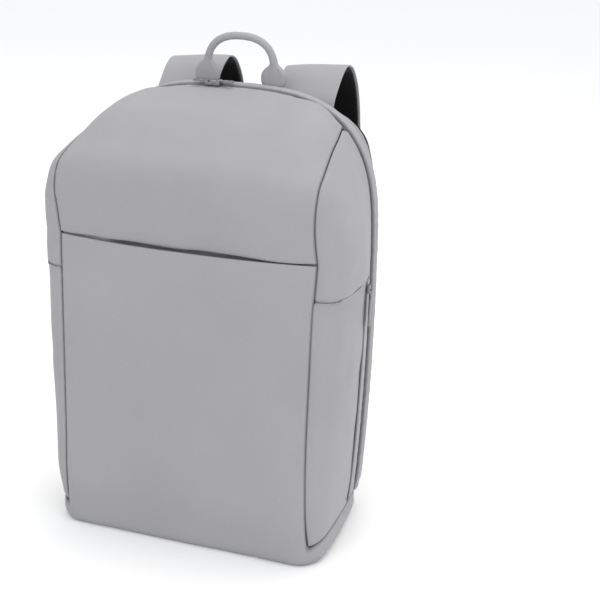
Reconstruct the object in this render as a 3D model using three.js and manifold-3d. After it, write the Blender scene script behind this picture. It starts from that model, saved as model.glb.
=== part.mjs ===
// A laptop backpack of smooth light grey cloth, standing on its base.
// Millimetres, +Z up. The front faces -Y, the back panel +Y, and the bag's right side as seen
// from the front is +X. The origin is under the middle of the whole, on the floor.
import * as THREE from "three";
import { mergeVertices } from "three/addons/utils/BufferGeometryUtils.js";
import Module from "manifold-3d";

const wasm = await Module();
wasm.setup();

// Driving sizes of the body
const seamHalf = 134; // from the middle to each front seam
const pocketTop = 312.5; // height of the front pocket's mouth
const cornerHeight = 21; // height where the front seam ends at the base
const sidePocketTop = 278; // height of the side pockets' hems
const archHalf = 149; // from the middle to the zip arch, at its widest
const archTop = 450; // height of the zip arch
const archSpring = 300; // height where the arch starts to round
const archPower = 3; // how square the arch's top corners are
const archFootHalf = 138; // from the middle to the arch at the base
const zipDepth = 136; // from the front to the zip arch, at the floor
const lean = 14; // how far the arch leans forward at its top
const junctionTurn = 46; // degrees up the arch where the front seam meets it
const backHalf = 143; // from the middle to the back panel's edge, at its widest
const backTop = 437; // height of the back panel
const backPower = 4.6; // how square the back panel's top corners are
const bagDepth = 160; // from the front to the back panel's seam
const footHeight = 24; // height of the seam between the base and the rear parts
const baseEdge = 12; // radius of the base's side edges
const rearEdge = 20; // radius of the base's rear edge

// Cloth
const wall = 2; // thickness of the panels
const pocketWall = 1.6; // thickness of the side pockets' outer layer
const pocketRoom = 5.6; // space inside each side pocket
const slipRoom = 7; // space inside the front pocket
const gap = 0.3; // kept between pieces that touch
const bevel = 2.2; // how far a panel's inner face stands back at a seam

// Zip arch
const groove = 2.4; // width of the zip's groove
const bandWidth = 12; // width of the raised band behind it
const bandRise = 3.2; // how far the band stands proud
const tapeDrop = 1.6; // how deep the zip tape lies
const tapeThick = 1.2;

const grey = { color: 0xb4b4b6, roughness: 0.72, metalness: 0 };
const greyShade = { color: 0xa9a9ac, roughness: 0.75, metalness: 0 };
const zipGrey = { color: 0x6f7073, roughness: 0.7, metalness: 0 };
const blackMesh = { color: 0x121214, roughness: 0.95, metalness: 0 };
const metal = { color: 0x9c9da0, roughness: 0.35, metalness: 0.9 };
const plastic = { color: 0x8d8e91, roughness: 0.5, metalness: 0 };

const bag = new THREE.Group();

function place(name, geometry, look, parent = bag) {
  const mesh = new THREE.Mesh(geometry, new THREE.MeshStandardMaterial(look));
  mesh.name = name;
  parent.add(mesh);
  return mesh;
}

const mix = (a, b, t) => a + (b - a) * t;
const clamp = (t) => Math.min(1, Math.max(0, t));
const smooth = (a, b, x) => {
  const t = clamp((x - a) / (b - a));
  return t * t * (3 - 2 * t);
};

// One column of a table of rows, read at a value of the first column with a smooth curve.
function read(rows, column, at) {
  const key = Object.keys(rows[0])[0];
  const last = rows.length - 1;
  let i = 0;
  while (i < last - 1 && at > rows[i + 1][key]) i += 1;
  const slope = (a, b) => (rows[b][column] - rows[a][column]) / (rows[b][key] - rows[a][key]);
  const step = rows[i + 1][key] - rows[i][key];
  const here = slope(i, i + 1);
  const before = i > 0 ? (slope(i - 1, i) + here) / 2 : here;
  const after = i < last - 1 ? (here + slope(i + 1, i + 2)) / 2 : here;
  const t = clamp((at - rows[i][key]) / step);
  const rise = rows[i + 1][column] - rows[i][column];
  const bend = (1 - t) * (before * step - rise) - t * (after * step - rise);
  return rows[i][column] + rise * t + t * (1 - t) * bend;
}

// A solid from a grid of points on its outer face and one on its inner face, joined at the rim.
function twoFaced(outer, inner) {
  const rows = outer.length;
  const columns = outer[0].length;
  const points = [...outer.flat(), ...inner.flat()];
  const at = (side, j, i) => side * rows * columns + j * columns + i;
  const index = [];
  const quad = (a, b, c, d) => index.push(a, b, c, a, c, d);
  for (let j = 0; j < rows - 1; j += 1) {
    for (let i = 0; i < columns - 1; i += 1) {
      quad(at(0, j, i), at(0, j, i + 1), at(0, j + 1, i + 1), at(0, j + 1, i));
      quad(at(1, j, i), at(1, j + 1, i), at(1, j + 1, i + 1), at(1, j, i + 1));
    }
  }
  for (let i = 0; i < columns - 1; i += 1) {
    quad(at(0, 0, i), at(1, 0, i), at(1, 0, i + 1), at(0, 0, i + 1));
    quad(at(0, rows - 1, i + 1), at(1, rows - 1, i + 1), at(1, rows - 1, i), at(0, rows - 1, i));
  }
  for (let j = 0; j < rows - 1; j += 1) {
    quad(at(0, j + 1, 0), at(1, j + 1, 0), at(1, j, 0), at(0, j, 0));
    const end = columns - 1;
    quad(at(0, j, end), at(1, j, end), at(1, j + 1, end), at(0, j + 1, end));
  }
  const geometry = new THREE.BufferGeometry().setFromPoints(points);
  geometry.setIndex(index);
  geometry.computeVertexNormals();
  return geometry;
}

// A cloth panel: face(u, v) is its outer face, and across and along are its steps in u and v.
// Its edges stand half a gap back from the seams, and its inner face stands back by the bevel.
function panel(face, { across, along, thick = wall, spread = (t) => t, stand = bevel }) {
  const back = gap / 2;
  const grid = (inset, depth) => {
    const rows = [];
    for (let j = 0; j <= along; j += 1) {
      const row = [];
      for (let i = 0; i <= across; i += 1) {
        const s = spread(i / across);
        const t = j / along;
        const wide = face(0.5, t).distanceTo(face(0, t)) + face(0.5, t).distanceTo(face(1, t));
        const tall = face(s, 0.5).distanceTo(face(s, 0)) + face(s, 0.5).distanceTo(face(s, 1));
        const u = mix(inset / wide, 1 - inset / wide, s);
        const v = mix(inset / tall, 1 - inset / tall, t);
        row.push(face(u, v).addScaledVector(normalOf(face, u, v), -depth));
      }
      rows.push(row);
    }
    return rows;
  };
  return twoFaced(grid(back, 0), grid(back + stand, thick));
}

// A solid through a list of closed outlines that have as many points each, with flat or fanned ends.
function loft(outlines) {
  const count = outlines[0].length;
  const last = outlines.length - 1;
  const points = outlines.flat();
  const index = [];
  for (let j = 0; j < last; j += 1) {
    for (let i = 0; i < count; i += 1) {
      const a = j * count + i;
      const b = j * count + ((i + 1) % count);
      index.push(a, b, b + count, a, b + count, a + count);
    }
  }
  for (const [ring, flip] of [[0, true], [last, false]]) {
    const middle = new THREE.Vector3();
    for (const point of outlines[ring]) middle.addScaledVector(point, 1 / count);
    points.push(middle);
    for (let i = 0; i < count; i += 1) {
      const a = ring * count + i;
      const b = ring * count + ((i + 1) % count);
      index.push(points.length - 1, flip ? b : a, flip ? a : b);
    }
  }
  const geometry = new THREE.BufferGeometry().setFromPoints(points);
  geometry.setIndex(index);
  geometry.computeVertexNormals();
  return geometry;
}

// The same piece on the bag's other side.
function mirrored(geometry) {
  const bare = new THREE.BufferGeometry();
  bare.setAttribute("position", geometry.getAttribute("position").clone());
  if (geometry.index) bare.setIndex(geometry.index.clone());
  const other = mergeVertices(bare, 1e-4).scale(-1, 1, 1);
  const index = other.index.array;
  for (let i = 0; i < index.length; i += 3) [index[i + 1], index[i + 2]] = [index[i + 2], index[i + 1]];
  other.computeVertexNormals();
  return other;
}

// Seams. Each table's rows hold shares of the named sizes.
const seamWave = 10; // how far the front seams wander in depth
const crownRise = 30; // how far the top panel's middle rises over its side seams
const sideSwell = 22; // how far the stuffed sides stand out past the front seams
const stripRise = 7; // how far the base's side strip rises between its ends
const mouthBulge = 13; // how far the front pocket's mouth stands out past the seams
const frontEdge = 8; // radius of the base's front edge
const mouthShare = 0.6; // share of the side's height, along its seams, that is below the mouth

// The front seam from the base to the pocket's mouth
const lowerSeam = [
  { up: 0.0, out: 1.0, back: 0.45 },
  { up: 0.09, out: 0.99, back: -0.1 },
  { up: 0.3, out: 0.978, back: -0.26 },
  { up: 0.56, out: 0.981, back: -0.1 },
  { up: 0.8, out: 0.99, back: 0.15 },
  { up: 1.0, out: 1.006, back: 0.6 },
];
// The front seam from the mouth, over the shoulder, to the zip arch
const upperSeam = [
  { along: 0.0, up: 0.0, back: 0.0, in: 0.0 },
  { along: 0.145, up: 0.264, back: -0.06, in: 0.04 },
  { along: 0.245, up: 0.45, back: -0.085, in: 0.0 },
  { along: 0.365, up: 0.662, back: -0.017, in: 0.0 },
  { along: 0.505, up: 0.79, back: 0.188, in: 0.12 },
  { along: 0.665, up: 0.893, back: 0.444, in: 0.35 },
  { along: 0.855, up: 0.95, back: 0.76, in: 0.7 },
  { along: 1.0, up: 1.0, back: 1.0, in: 1.0 },
];
// How a side swells between the front seam and the arch
const sideProfile = [
  { along: 0.0, depth: 0.0, swell: 0.0 },
  { along: 0.08, depth: 0.012, swell: 0.42 },
  { along: 0.16, depth: 0.06, swell: 0.8 },
  { along: 0.25, depth: 0.15, swell: 1.0 },
  { along: 0.4, depth: 0.32, swell: 1.0 },
  { along: 0.6, depth: 0.54, swell: 0.82 },
  { along: 0.8, depth: 0.77, swell: 0.45 },
  { along: 1.0, depth: 1.0, swell: 0.0 },
];
// How much of the swell each height has
const sideHeights = [
  { up: 0.0, swell: 0.5 },
  { up: 0.06, swell: 0.68 },
  { up: 0.17, swell: 0.84 },
  { up: 0.34, swell: 0.93 },
  { up: 0.6, swell: 1.0 },
  { up: 0.66, swell: 0.92 },
  { up: 0.72, swell: 0.6 },
  { up: 0.8, swell: 0.28 },
  { up: 1.0, swell: 0.0 },
];
// How the top panel is crowned from the mouth back to the arch
const crownRows = [
  { along: 0.0, forward: 0.13, lift: 0.0 },
  { along: 0.145, forward: 0.22, lift: 0.0 },
  { along: 0.245, forward: 0.26, lift: 0.05 },
  { along: 0.365, forward: 0.26, lift: 0.25 },
  { along: 0.505, forward: 0.2, lift: 0.48 },
  { along: 0.665, forward: 0.12, lift: 0.7 },
  { along: 0.855, forward: 0.05, lift: 0.9 },
  { along: 1.0, forward: 0.03, lift: 1.0 },
];

const depthOf = (z) => zipDepth - (lean * z) / archTop;
const backOf = (z) => bagDepth - (lean * z) / archTop;

// An arch as seen from the front, from its foot on the +X side to its crown, as a curve in X and Z.
function archLine(half, top, power, footHalf) {
  const points = [];
  const legSteps = 10;
  const turnSteps = 40;
  for (let i = 0; i < legSteps; i += 1) {
    const t = i / legSteps;
    const x = mix(footHalf, half, 1 - (1 - t) ** 2.2);
    points.push(new THREE.Vector3(x, 0, mix(footHeight, archSpring, t)));
  }
  for (let i = 0; i <= turnSteps; i += 1) {
    const turn = (Math.PI / 2) * (i / turnSteps);
    const x = half * Math.max(0, Math.cos(turn)) ** (2 / power);
    const z = archSpring + (top - archSpring) * Math.sin(turn) ** (2 / power);
    points.push(new THREE.Vector3(i === turnSteps ? 0 : x, 0, z));
  }
  return new THREE.CatmullRomCurve3(points);
}
const zipArch = archLine(archHalf, archTop, archPower, archFootHalf);
const backArch = archLine(backHalf, backTop, backPower, archFootHalf - 4);

function shareAtHeight(arch, z) {
  let low = 0;
  let high = 1;
  for (let i = 0; i < 40; i += 1) {
    const middle = (low + high) / 2;
    if (arch.getPointAt(middle).z < z) low = middle;
    else high = middle;
  }
  return (low + high) / 2;
}
const turnAt = (junctionTurn * Math.PI) / 180;
const junction = new THREE.Vector3(
  archHalf * Math.cos(turnAt) ** (2 / archPower),
  0,
  archSpring + (archTop - archSpring) * Math.sin(turnAt) ** (2 / archPower),
);
junction.y = depthOf(junction.z);
const springShare = shareAtHeight(zipArch, archSpring);
const junctionShare = shareAtHeight(zipArch, junction.z);

// The front seam and the zip arch on the +X side, by the share of the way up them.
function seamPoint(v) {
  const mouthBack = seamWave * lowerSeam[lowerSeam.length - 1].back;
  if (v <= mouthShare) {
    const up = v / mouthShare;
    const x = seamHalf * read(lowerSeam, "out", up);
    return new THREE.Vector3(x, seamWave * read(lowerSeam, "back", up), mix(cornerHeight, pocketTop, up));
  }
  const along = (v - mouthShare) / (1 - mouthShare);
  const mouthX = seamHalf * lowerSeam[lowerSeam.length - 1].out;
  return new THREE.Vector3(
    mix(mouthX, junction.x, read(upperSeam, "in", along)),
    mix(mouthBack, junction.y, read(upperSeam, "back", along)),
    mix(pocketTop, junction.z, read(upperSeam, "up", along)),
  );
}

function archPoint(v) {
  const low = v <= mouthShare;
  const t = low ? v / mouthShare : (v - mouthShare) / (1 - mouthShare);
  const share = low ? mix(0, springShare, t) : mix(springShare, junctionShare, t);
  const point = zipArch.getPointAt(share);
  point.y = depthOf(point.z);
  return point;
}

// The +X side's outer face, from the front seam (u = 0) to the arch, and from the base up.
function sideFace(u, v) {
  const point = seamPoint(v).lerp(archPoint(v), read(sideProfile, "depth", u));
  point.x += sideSwell * read(sideHeights, "swell", v) * read(sideProfile, "swell", u);
  point.z += stripRise * Math.sin(Math.PI * u) * (1 - v) ** 8;
  return point;
}

// The unit normal of a face function.
function normalOf(face, u, v) {
  const small = 1e-3;
  const alongU = face(clamp(u + small), v).sub(face(clamp(u - small), v));
  const alongV = face(u, clamp(v + small)).sub(face(u, clamp(v - small)));
  return alongU.cross(alongV).normalize();
}

// The share of the side's height where its face reaches a height at the middle of its depth.
function sideShareAt(z) {
  let low = 0;
  let high = mouthShare;
  for (let i = 0; i < 40; i += 1) {
    const middle = (low + high) / 2;
    if (seamPoint(middle).z < z) low = middle;
    else high = middle;
  }
  return (low + high) / 2;
}

// Side panels and side pockets. The panel steps in behind the pocket just above the pocket's hem.
const tuck = 5; // height over which a panel steps in behind a pocket's hem
const sidePanel = (u, v) => {
  const point = sideFace(u, v);
  const behind = 1 - smooth(sidePocketTop + 2, sidePocketTop + 2 + tuck, point.z);
  const room = pocketWall + 2 * gap + pocketRoom * Math.sin(Math.PI * u) ** 0.6;
  return point.addScaledVector(normalOf(sideFace, u, v), -room * behind);
};
const topMargin = 0.985; // the side panel ends just short of the junction, where its seams meet
const sideRight = panel((u, v) => sidePanel(u, v * topMargin), { across: 11, along: 18 });
place("side_panel_right", sideRight, grey);
place("side_panel_left", mirrored(sideRight), grey);

const hemShare = sideShareAt(sidePocketTop);
const sideLayer = (u, v) => {
  const point = sideFace(u, mix(0.003, 1, v) * hemShare);
  point.z = mix(point.z, sidePocketTop, smooth(0.7, 1, v));
  return point;
};
const pocketRight = panel(sideLayer, { across: 10, along: 9, thick: pocketWall });
place("side_pocket_right", pocketRight, grey);
place("side_pocket_left", mirrored(pocketRight), grey);

// The front pocket's outer panel and the base, one piece of cloth from the rear edge to the mouth.
const foldShare = 0.46; // share of the cloth's length that is base
const edgeForward = 3; // how far the front edge stands out in front of the seams
const rearCorner = new THREE.Vector3(archFootHalf - 4, bagDepth - 0.5, footHeight);
const rimPoints = [rearCorner];
for (const u of [1, 0.85, 0.7, 0.5, 0.35, 0.22, 0.12, 0.05, 0]) rimPoints.push(sideFace(u, 0));
const baseRim = new THREE.CatmullRomCurve3(rimPoints);
const keel = new THREE.Path();
keel.moveTo(bagDepth, footHeight);
keel.lineTo(bagDepth, rearEdge);
keel.absarc(bagDepth - rearEdge, rearEdge, rearEdge, 0, -Math.PI / 2, true);
keel.lineTo(frontEdge, 0);
keel.absarc(frontEdge - edgeForward, frontEdge, frontEdge, -Math.PI / 2, -Math.PI, true);
const bulgeRows = [
  { up: 0.0, bulge: 0.16 },
  { up: 0.3, bulge: 0.4 },
  { up: 0.7, bulge: 0.62 },
  { up: 0.93, bulge: 0.9 },
  { up: 1.0, bulge: 1.0 },
];

// One row of the cloth: its rim, its middle and how far it is turned up at the sides.
function clothRow(v) {
  if (v < foldShare) {
    const t = v / foldShare;
    const rim = baseRim.getPointAt(t);
    const low = keel.getPointAt(t);
    const turn = smooth(0, 0.16, t) * (1 - 0.75 * smooth(0.88, 1, t));
    return { rim, middle: new THREE.Vector3(0, low.x, low.y), turn };
  }
  const up = (v - foldShare) / (1 - foldShare);
  const rim = seamPoint(up * mouthShare);
  const low = mix(frontEdge, pocketTop, up);
  const bulged = rim.y - mouthBulge * read(bulgeRows, "bulge", up);
  const flat = mix(-edgeForward, bulged, smooth(0, 0.15, up));
  return { rim, middle: new THREE.Vector3(0, flat, low), turn: 0.25 * (1 - smooth(0, 0.1, up)) };
}

// The cloth across a row: straight on the front, and turned up round the side edge on the base.
function frontCloth(u, v) {
  const { rim, middle, turn } = clothRow(v);
  const side = u < 0.5 ? -1 : 1;
  const share = Math.abs(2 * u - 1);
  const height = Math.max(0.1, rim.z - middle.z);
  const edge = Math.min(baseEdge, height);
  const flat = rim.x - edge;
  const round = (edge * Math.PI) / 2;
  const reach = share * (flat + round + height - edge);
  const angle = clamp((reach - flat) / round) * (Math.PI / 2);
  const turnedX = Math.min(reach, flat) + edge * Math.sin(angle);
  const turnedZ = edge * (1 - Math.cos(angle)) + Math.max(0, reach - flat - round);
  const x = mix(rim.x * share, turnedX, turn);
  const z = middle.z + mix(height * share ** 6, turnedZ, turn) * (rim.z > middle.z ? 1 : 0);
  const y = mix(middle.y, rim.y, share ** 2.4);
  return new THREE.Vector3(side * x, y, z);
}
const nearRims = (t) => {
  const q = 2 * t - 1;
  return 0.5 + 0.5 * Math.sign(q) * (1 - (1 - Math.abs(q)) ** 1.7);
};
place("front_pocket_base", panel(frontCloth, { across: 18, along: 26, spread: nearRims }), grey);

// The upper front and top panel, which runs down behind the front pocket as its back wall.
const slipFloor = 34; // height of the bottom of the front pocket
const topSteps = 25; // rows of the panel
const hiddenSteps = 7; // rows of it that are behind the pocket
const hiddenInset = 3.6; // how far the hidden part's edges stand in from the seams
const visibleStart = 0.04; // share of the visible part's length that the step to the pocket takes
function crownShape(across) {
  const x = Math.abs(across) * junction.x;
  const z = archSpring + (archTop - archSpring) * (1 - (x / archHalf) ** archPower) ** (1 / archPower);
  return (z - junction.z) / (archTop - junction.z);
}
function hiddenCloth(across, up) {
  const z = mix(slipFloor, pocketTop + 1, up);
  const level = clamp((z - cornerHeight) / (pocketTop - cornerHeight));
  const seam = seamPoint(level * mouthShare);
  const edgeBack = seam.y + wall + gap + 0.6;
  const middleBack = seam.y - mouthBulge * read(bulgeRows, "bulge", level) + wall + slipRoom;
  return new THREE.Vector3(across * (seam.x - hiddenInset), mix(middleBack, edgeBack, across ** 2), z);
}
function visibleCloth(across, t) {
  const along = mix(visibleStart, 1, t);
  const seam = seamPoint(mouthShare + (1 - mouthShare) * along);
  const shape = crownShape(across);
  const y = seam.y - crownRise * read(crownRows, "forward", along) * shape;
  return new THREE.Vector3(across * seam.x, y, seam.z + crownRise * read(crownRows, "lift", along) * shape);
}
function topCloth(u, v) {
  const across = 2 * u - 1;
  const row = v * topSteps;
  const step = row - hiddenSteps;
  if (step <= 0) return hiddenCloth(across, row / hiddenSteps);
  if (step >= 1) return visibleCloth(across, (step - 1) / (topSteps - hiddenSteps - 1));
  return hiddenCloth(across, 1).lerp(visibleCloth(across, 0), step);
}
place("upper_front_panel", panel(topCloth, { across: 14, along: topSteps }), grey);

// The zip tape, the raised band and the rear gusset, all round the arch from the base to the base.
function archStation(q) {
  const share = clamp(1 - Math.abs(q));
  const point = zipArch.getPointAt(share);
  const tangent = zipArch.getTangentAt(share);
  const side = q < 0 ? -1 : 1;
  const out = new THREE.Vector3(side * tangent.z, 0, -tangent.x);
  if (q === 0) out.set(0, 0, 1);
  return { at: new THREE.Vector3(side * point.x, depthOf(point.z), point.z), out };
}
const archStart = 1 - gap / zipArch.getLength(); // leaves the gap above the base's rim
function archSweep(section, steps) {
  const rings = [];
  for (let j = 0; j <= steps; j += 1) {
    const { at, out } = archStation(archStart * (1 - (2 * j) / steps));
    rings.push(section.map(([rise, depth]) => {
      const point = at.clone().addScaledVector(out, rise);
      point.y += depth;
      return point;
    }));
  }
  return loft(rings);
}
const archSteps = 52;
const tapeSection = [
  [-tapeDrop, gap],
  [-tapeDrop, groove + gap],
  [-tapeDrop - tapeThick, groove + gap],
  [-tapeDrop - tapeThick, gap],
];
place("main_zip", archSweep(tapeSection, archSteps), zipGrey);
const bandStart = groove + 2 * gap;
const bandSection = [
  [bandRise * 0.7, bandStart],
  [bandRise, bandStart + bandWidth * 0.25],
  [bandRise, bandStart + bandWidth * 0.7],
  [bandRise * 0.5, bandStart + bandWidth],
  [-wall, bandStart + bandWidth],
  [-wall, bandStart],
];
place("zip_band", archSweep(bandSection, archSteps), grey);

const bandEnd = bandStart + bandWidth;
const gussetFace = (u, v) => {
  const q = 1 - 2 * v;
  const { at } = archStation(q * archStart);
  const rear = backArch.getPointAt(clamp(1 - Math.abs(q) * archStart));
  rear.set((q < 0 ? -1 : 1) * rear.x, backOf(rear.z), rear.z);
  at.y += bandEnd + gap;
  return at.lerp(rear, u);
};
place("rear_gusset", panel(gussetFace, { across: 2, along: archSteps }), greyShade);

// The padded back panel, behind the gusset.
const padRise = 6; // how far the padding swells in its middle
const padEdge = 8; // thickness of the padding at its seam
const backCornerTurn = (52 * Math.PI) / 180;
const backCornerZ = archSpring + (backTop - archSpring) * Math.sin(backCornerTurn) ** (2 / backPower);
const backCornerShare = shareAtHeight(backArch, backCornerZ);
const backFace = (u, v) => {
  const across = 1 - 2 * u;
  const edge = backArch.getPointAt(v * backCornerShare);
  const corner = backArch.getPointAt(backCornerShare);
  const x = Math.abs(across) * corner.x;
  const top = archSpring + (backTop - archSpring) * (1 - (x / backHalf) ** backPower) ** (1 / backPower);
  const z = edge.z + (top - corner.z) * v ** 2;
  const pillow = ((1 - across ** 4) * (1 - (2 * v - 1) ** 6)) ** 0.7;
  return new THREE.Vector3(across * edge.x, backOf(z) + gap + padEdge + padRise * pillow, z);
};
place("back_panel", panel(backFace, { across: 10, along: 14, thick: padEdge, stand: 0 }), blackMesh);

// The carry handle: a round tube whose two ends widen into flat, gathered paddles.
const handleHalf = 36; // from the middle to each end
const handleTop = 502; // height of the tube's crown
const paddleWidth = 27;
const paddleThick = 7.5;
const handleSides = 8;
const flatShare = Math.cos(Math.PI / handleSides); // how near the flats of a paddle are to its round
const handleDepth = depthOf(archTop) + bandEnd + gap + (paddleThick / 2) * flatShare; // just behind the band
const paddleTall = 24;
const tubeRadius = 3.8;
const handleRows = [
  { along: 0.0, wide: 0.34, thick: 0.75 },
  { along: 0.04, wide: 0.4, thick: 0.95 },
  { along: 0.12, wide: 0.46, thick: 1.0 },
  { along: 0.3, wide: 0.5, thick: 1.0 },
  { along: 0.55, wide: 0.47, thick: 1.0 },
  { along: 0.78, wide: 0.33, thick: 1.0 },
  { along: 0.92, wide: 0.18, thick: 1.0 },
  { along: 1.0, wide: 0.14, thick: 1.0 },
];
function crownHeight(x) {
  return archSpring + (archTop - archSpring) * (1 - (Math.abs(x) / archHalf) ** archPower) ** (1 / archPower);
}
const handleFoot = crownHeight(handleHalf) + gap;
const bowFoot = handleFoot + paddleTall * 0.7; // where the ends start to bow over
const bowRise = handleTop - tubeRadius - bowFoot;
const bowPower = 2.4; // how square the bow is
const handlePath = [];
for (let i = 0; i <= 18; i += 1) {
  const turn = (Math.PI * i) / 18;
  const round = Math.sin(turn) ** (2 / bowPower);
  const x = handleHalf * Math.sign(Math.cos(turn)) * Math.abs(Math.cos(turn)) ** (2 / bowPower);
  handlePath.push(new THREE.Vector3(x, handleDepth, bowFoot + bowRise * round));
}
handlePath.unshift(new THREE.Vector3(handleHalf, handleDepth, handleFoot));
handlePath.push(new THREE.Vector3(-handleHalf, handleDepth, handleFoot));
const handleCurve = new THREE.CatmullRomCurve3(handlePath);
const handleLength = handleCurve.getLength();
const handleSteps = 30;
const handleRings = [];
for (let j = 0; j <= handleSteps; j += 1) {
  const t = j / handleSteps;
  const near = 0.5 - 0.5 * Math.sign(0.5 - t) * Math.abs(1 - 2 * t) ** 0.8;
  const from = Math.min(near, 1 - near) * handleLength;
  const share = clamp(from / paddleTall);
  const wide = share < 1 ? paddleWidth * read(handleRows, "wide", share) : tubeRadius;
  const thick = mix(paddleThick / 2, tubeRadius, share) * (share < 1 ? read(handleRows, "thick", share) : 1);
  const at = handleCurve.getPointAt(near);
  const tangent = handleCurve.getTangentAt(near);
  const across = new THREE.Vector3(tangent.z, 0, -tangent.x);
  const ring = [];
  for (let i = 0; i < handleSides; i += 1) {
    const angle = (2 * Math.PI * (i + 0.5)) / handleSides;
    const point = at.clone().addScaledVector(across, Math.max(tubeRadius, wide) * Math.cos(angle));
    point.y += thick * Math.sin(angle);
    ring.push(point);
  }
  handleRings.push(ring);
}
place("carry_handle", loft(handleRings), grey);

// Shoulder straps: a grey outer over a black mesh lining, then webbing through a ladder buckle.
const strapHalf = 65; // from the middle to each strap's centre line at its root
const strapSpread = 34; // how much further out its lower end lies
const strapWidth = 68;
const strapThin = 2.2; // thickness of the grey outer
const liningThick = 5;
const strapRise = 30; // how far the strap rises over its root
const strapReach = 88; // how far it stands out behind its root
const strapDrop = 290; // how far its padded part hangs below its root
const rootBack = backOf(backTop) + gap + padEdge * 0.35; // where the root is sewn, over the back panel
const rootUp = backTop + 3.4;
// The strap's centre line as shares of its reach behind the root and of its rise or drop
const strapLine = [
  { back: 0.0, rise: 0.0, drop: 0.0 },
  { back: 0.13, rise: 0.44, drop: 0.0 },
  { back: 0.27, rise: 0.8, drop: 0.0 },
  { back: 0.44, rise: 1.0, drop: 0.0 },
  { back: 0.62, rise: 0.86, drop: 0.0 },
  { back: 0.78, rise: 0.36, drop: 0.0 },
  { back: 0.92, rise: 0.0, drop: 0.06 },
  { back: 1.0, rise: 0.0, drop: 0.17 },
  { back: 1.0, rise: 0.0, drop: 0.33 },
  { back: 0.96, rise: 0.0, drop: 0.5 },
  { back: 0.88, rise: 0.0, drop: 0.66 },
  { back: 0.77, rise: 0.0, drop: 0.83 },
  { back: 0.65, rise: 0.0, drop: 1.0 },
];
const strapWidths = [
  { along: 0.0, wide: 0.96 },
  { along: 0.25, wide: 1.0 },
  { along: 0.6, wide: 0.96 },
  { along: 0.9, wide: 0.86 },
  { along: 0.96, wide: 0.72 },
  { along: 1.0, wide: 0.5 },
];
const strapCurve = new THREE.CatmullRomCurve3(
  strapLine.map(({ back, rise, drop }) => {
    const outward = smooth(0.15, 1, drop);
    const z = rootUp + strapRise * rise - strapDrop * drop;
    return new THREE.Vector3(strapHalf + strapSpread * outward, rootBack + strapReach * back, z);
  }),
);
const strapSteps = 22;
function strapFrame(curve, share) {
  const along = curve.getTangentAt(share);
  const across = new THREE.Vector3(1, 0, 0).addScaledVector(along, -along.x).normalize();
  const out = across.clone().cross(along);
  return { at: curve.getPointAt(share), across, out };
}
function strapLayer(top, bottom, narrower, first, last) {
  const rings = [];
  for (let j = first; j <= last; j += 1) {
    const share = j / strapSteps;
    const { at, across, out } = strapFrame(strapCurve, share);
    const half = (strapWidth / 2) * read(strapWidths, "wide", share) - narrower;
    const edge = Math.min(0.8, (top - bottom) / 3);
    const section = [
      [-half, top - edge],
      [-half * 0.5, top],
      [half * 0.5, top],
      [half, top - edge],
      [half, bottom],
      [-half, bottom],
    ];
    rings.push(section.map(([a, n]) => at.clone().addScaledVector(across, a).addScaledVector(out, n)));
  }
  return loft(rings);
}
const strapOuter = strapLayer(0, -strapThin, 0, 0, strapSteps);
place("strap_right", strapOuter, grey);
place("strap_left", mirrored(strapOuter), grey);
const liningTop = -strapThin - gap;
const strapLining = strapLayer(liningTop, liningTop - liningThick, 1.5, 1, strapSteps - 1);
place("strap_lining_right", strapLining, blackMesh);
place("strap_lining_left", mirrored(strapLining), blackMesh);

// The buckle follows the strap's end, and the webbing runs from it to a sewn tab at the foot.
const webbingWidth = 25;
const webbingThick = 1.8;
const buckleTall = 24;
const buckleThick = 5;
const buckleRim = 4.5; // how far the buckle stands out past the webbing
const strapEnd = strapFrame(strapCurve, 1);
const endTangent = strapCurve.getTangentAt(1);
const buckleTop = strapEnd.at.clone();
buckleTop.addScaledVector(strapEnd.out, -strapThin / 2).addScaledVector(endTangent, gap);
function plate(from, along, across, [wide, tall, thick]) {
  const corner = Math.min(4, wide / 5); // how far its corners are cut off
  const shape = new THREE.Shape();
  shape.moveTo(-wide / 2 + corner, 0);
  shape.lineTo(wide / 2 - corner, 0);
  shape.lineTo(wide / 2, corner);
  shape.lineTo(wide / 2, tall - corner);
  shape.lineTo(wide / 2 - corner, tall);
  shape.lineTo(-wide / 2 + corner, tall);
  shape.lineTo(-wide / 2, tall - corner);
  shape.lineTo(-wide / 2, corner);
  shape.closePath();
  const geometry = new THREE.ExtrudeGeometry(shape, { depth: thick, bevelEnabled: false });
  geometry.translate(0, 0, -thick / 2);
  const basis = new THREE.Matrix4().makeBasis(across, along, across.clone().cross(along));
  return geometry.applyMatrix4(basis.setPosition(from));
}
const buckleSize = [webbingWidth + 2 * buckleRim, buckleTall, buckleThick];
const buckle = plate(buckleTop, endTangent, strapEnd.across, buckleSize);
place("ladder_buckle_right", buckle, plastic);
place("ladder_buckle_left", mirrored(buckle), plastic);

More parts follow.
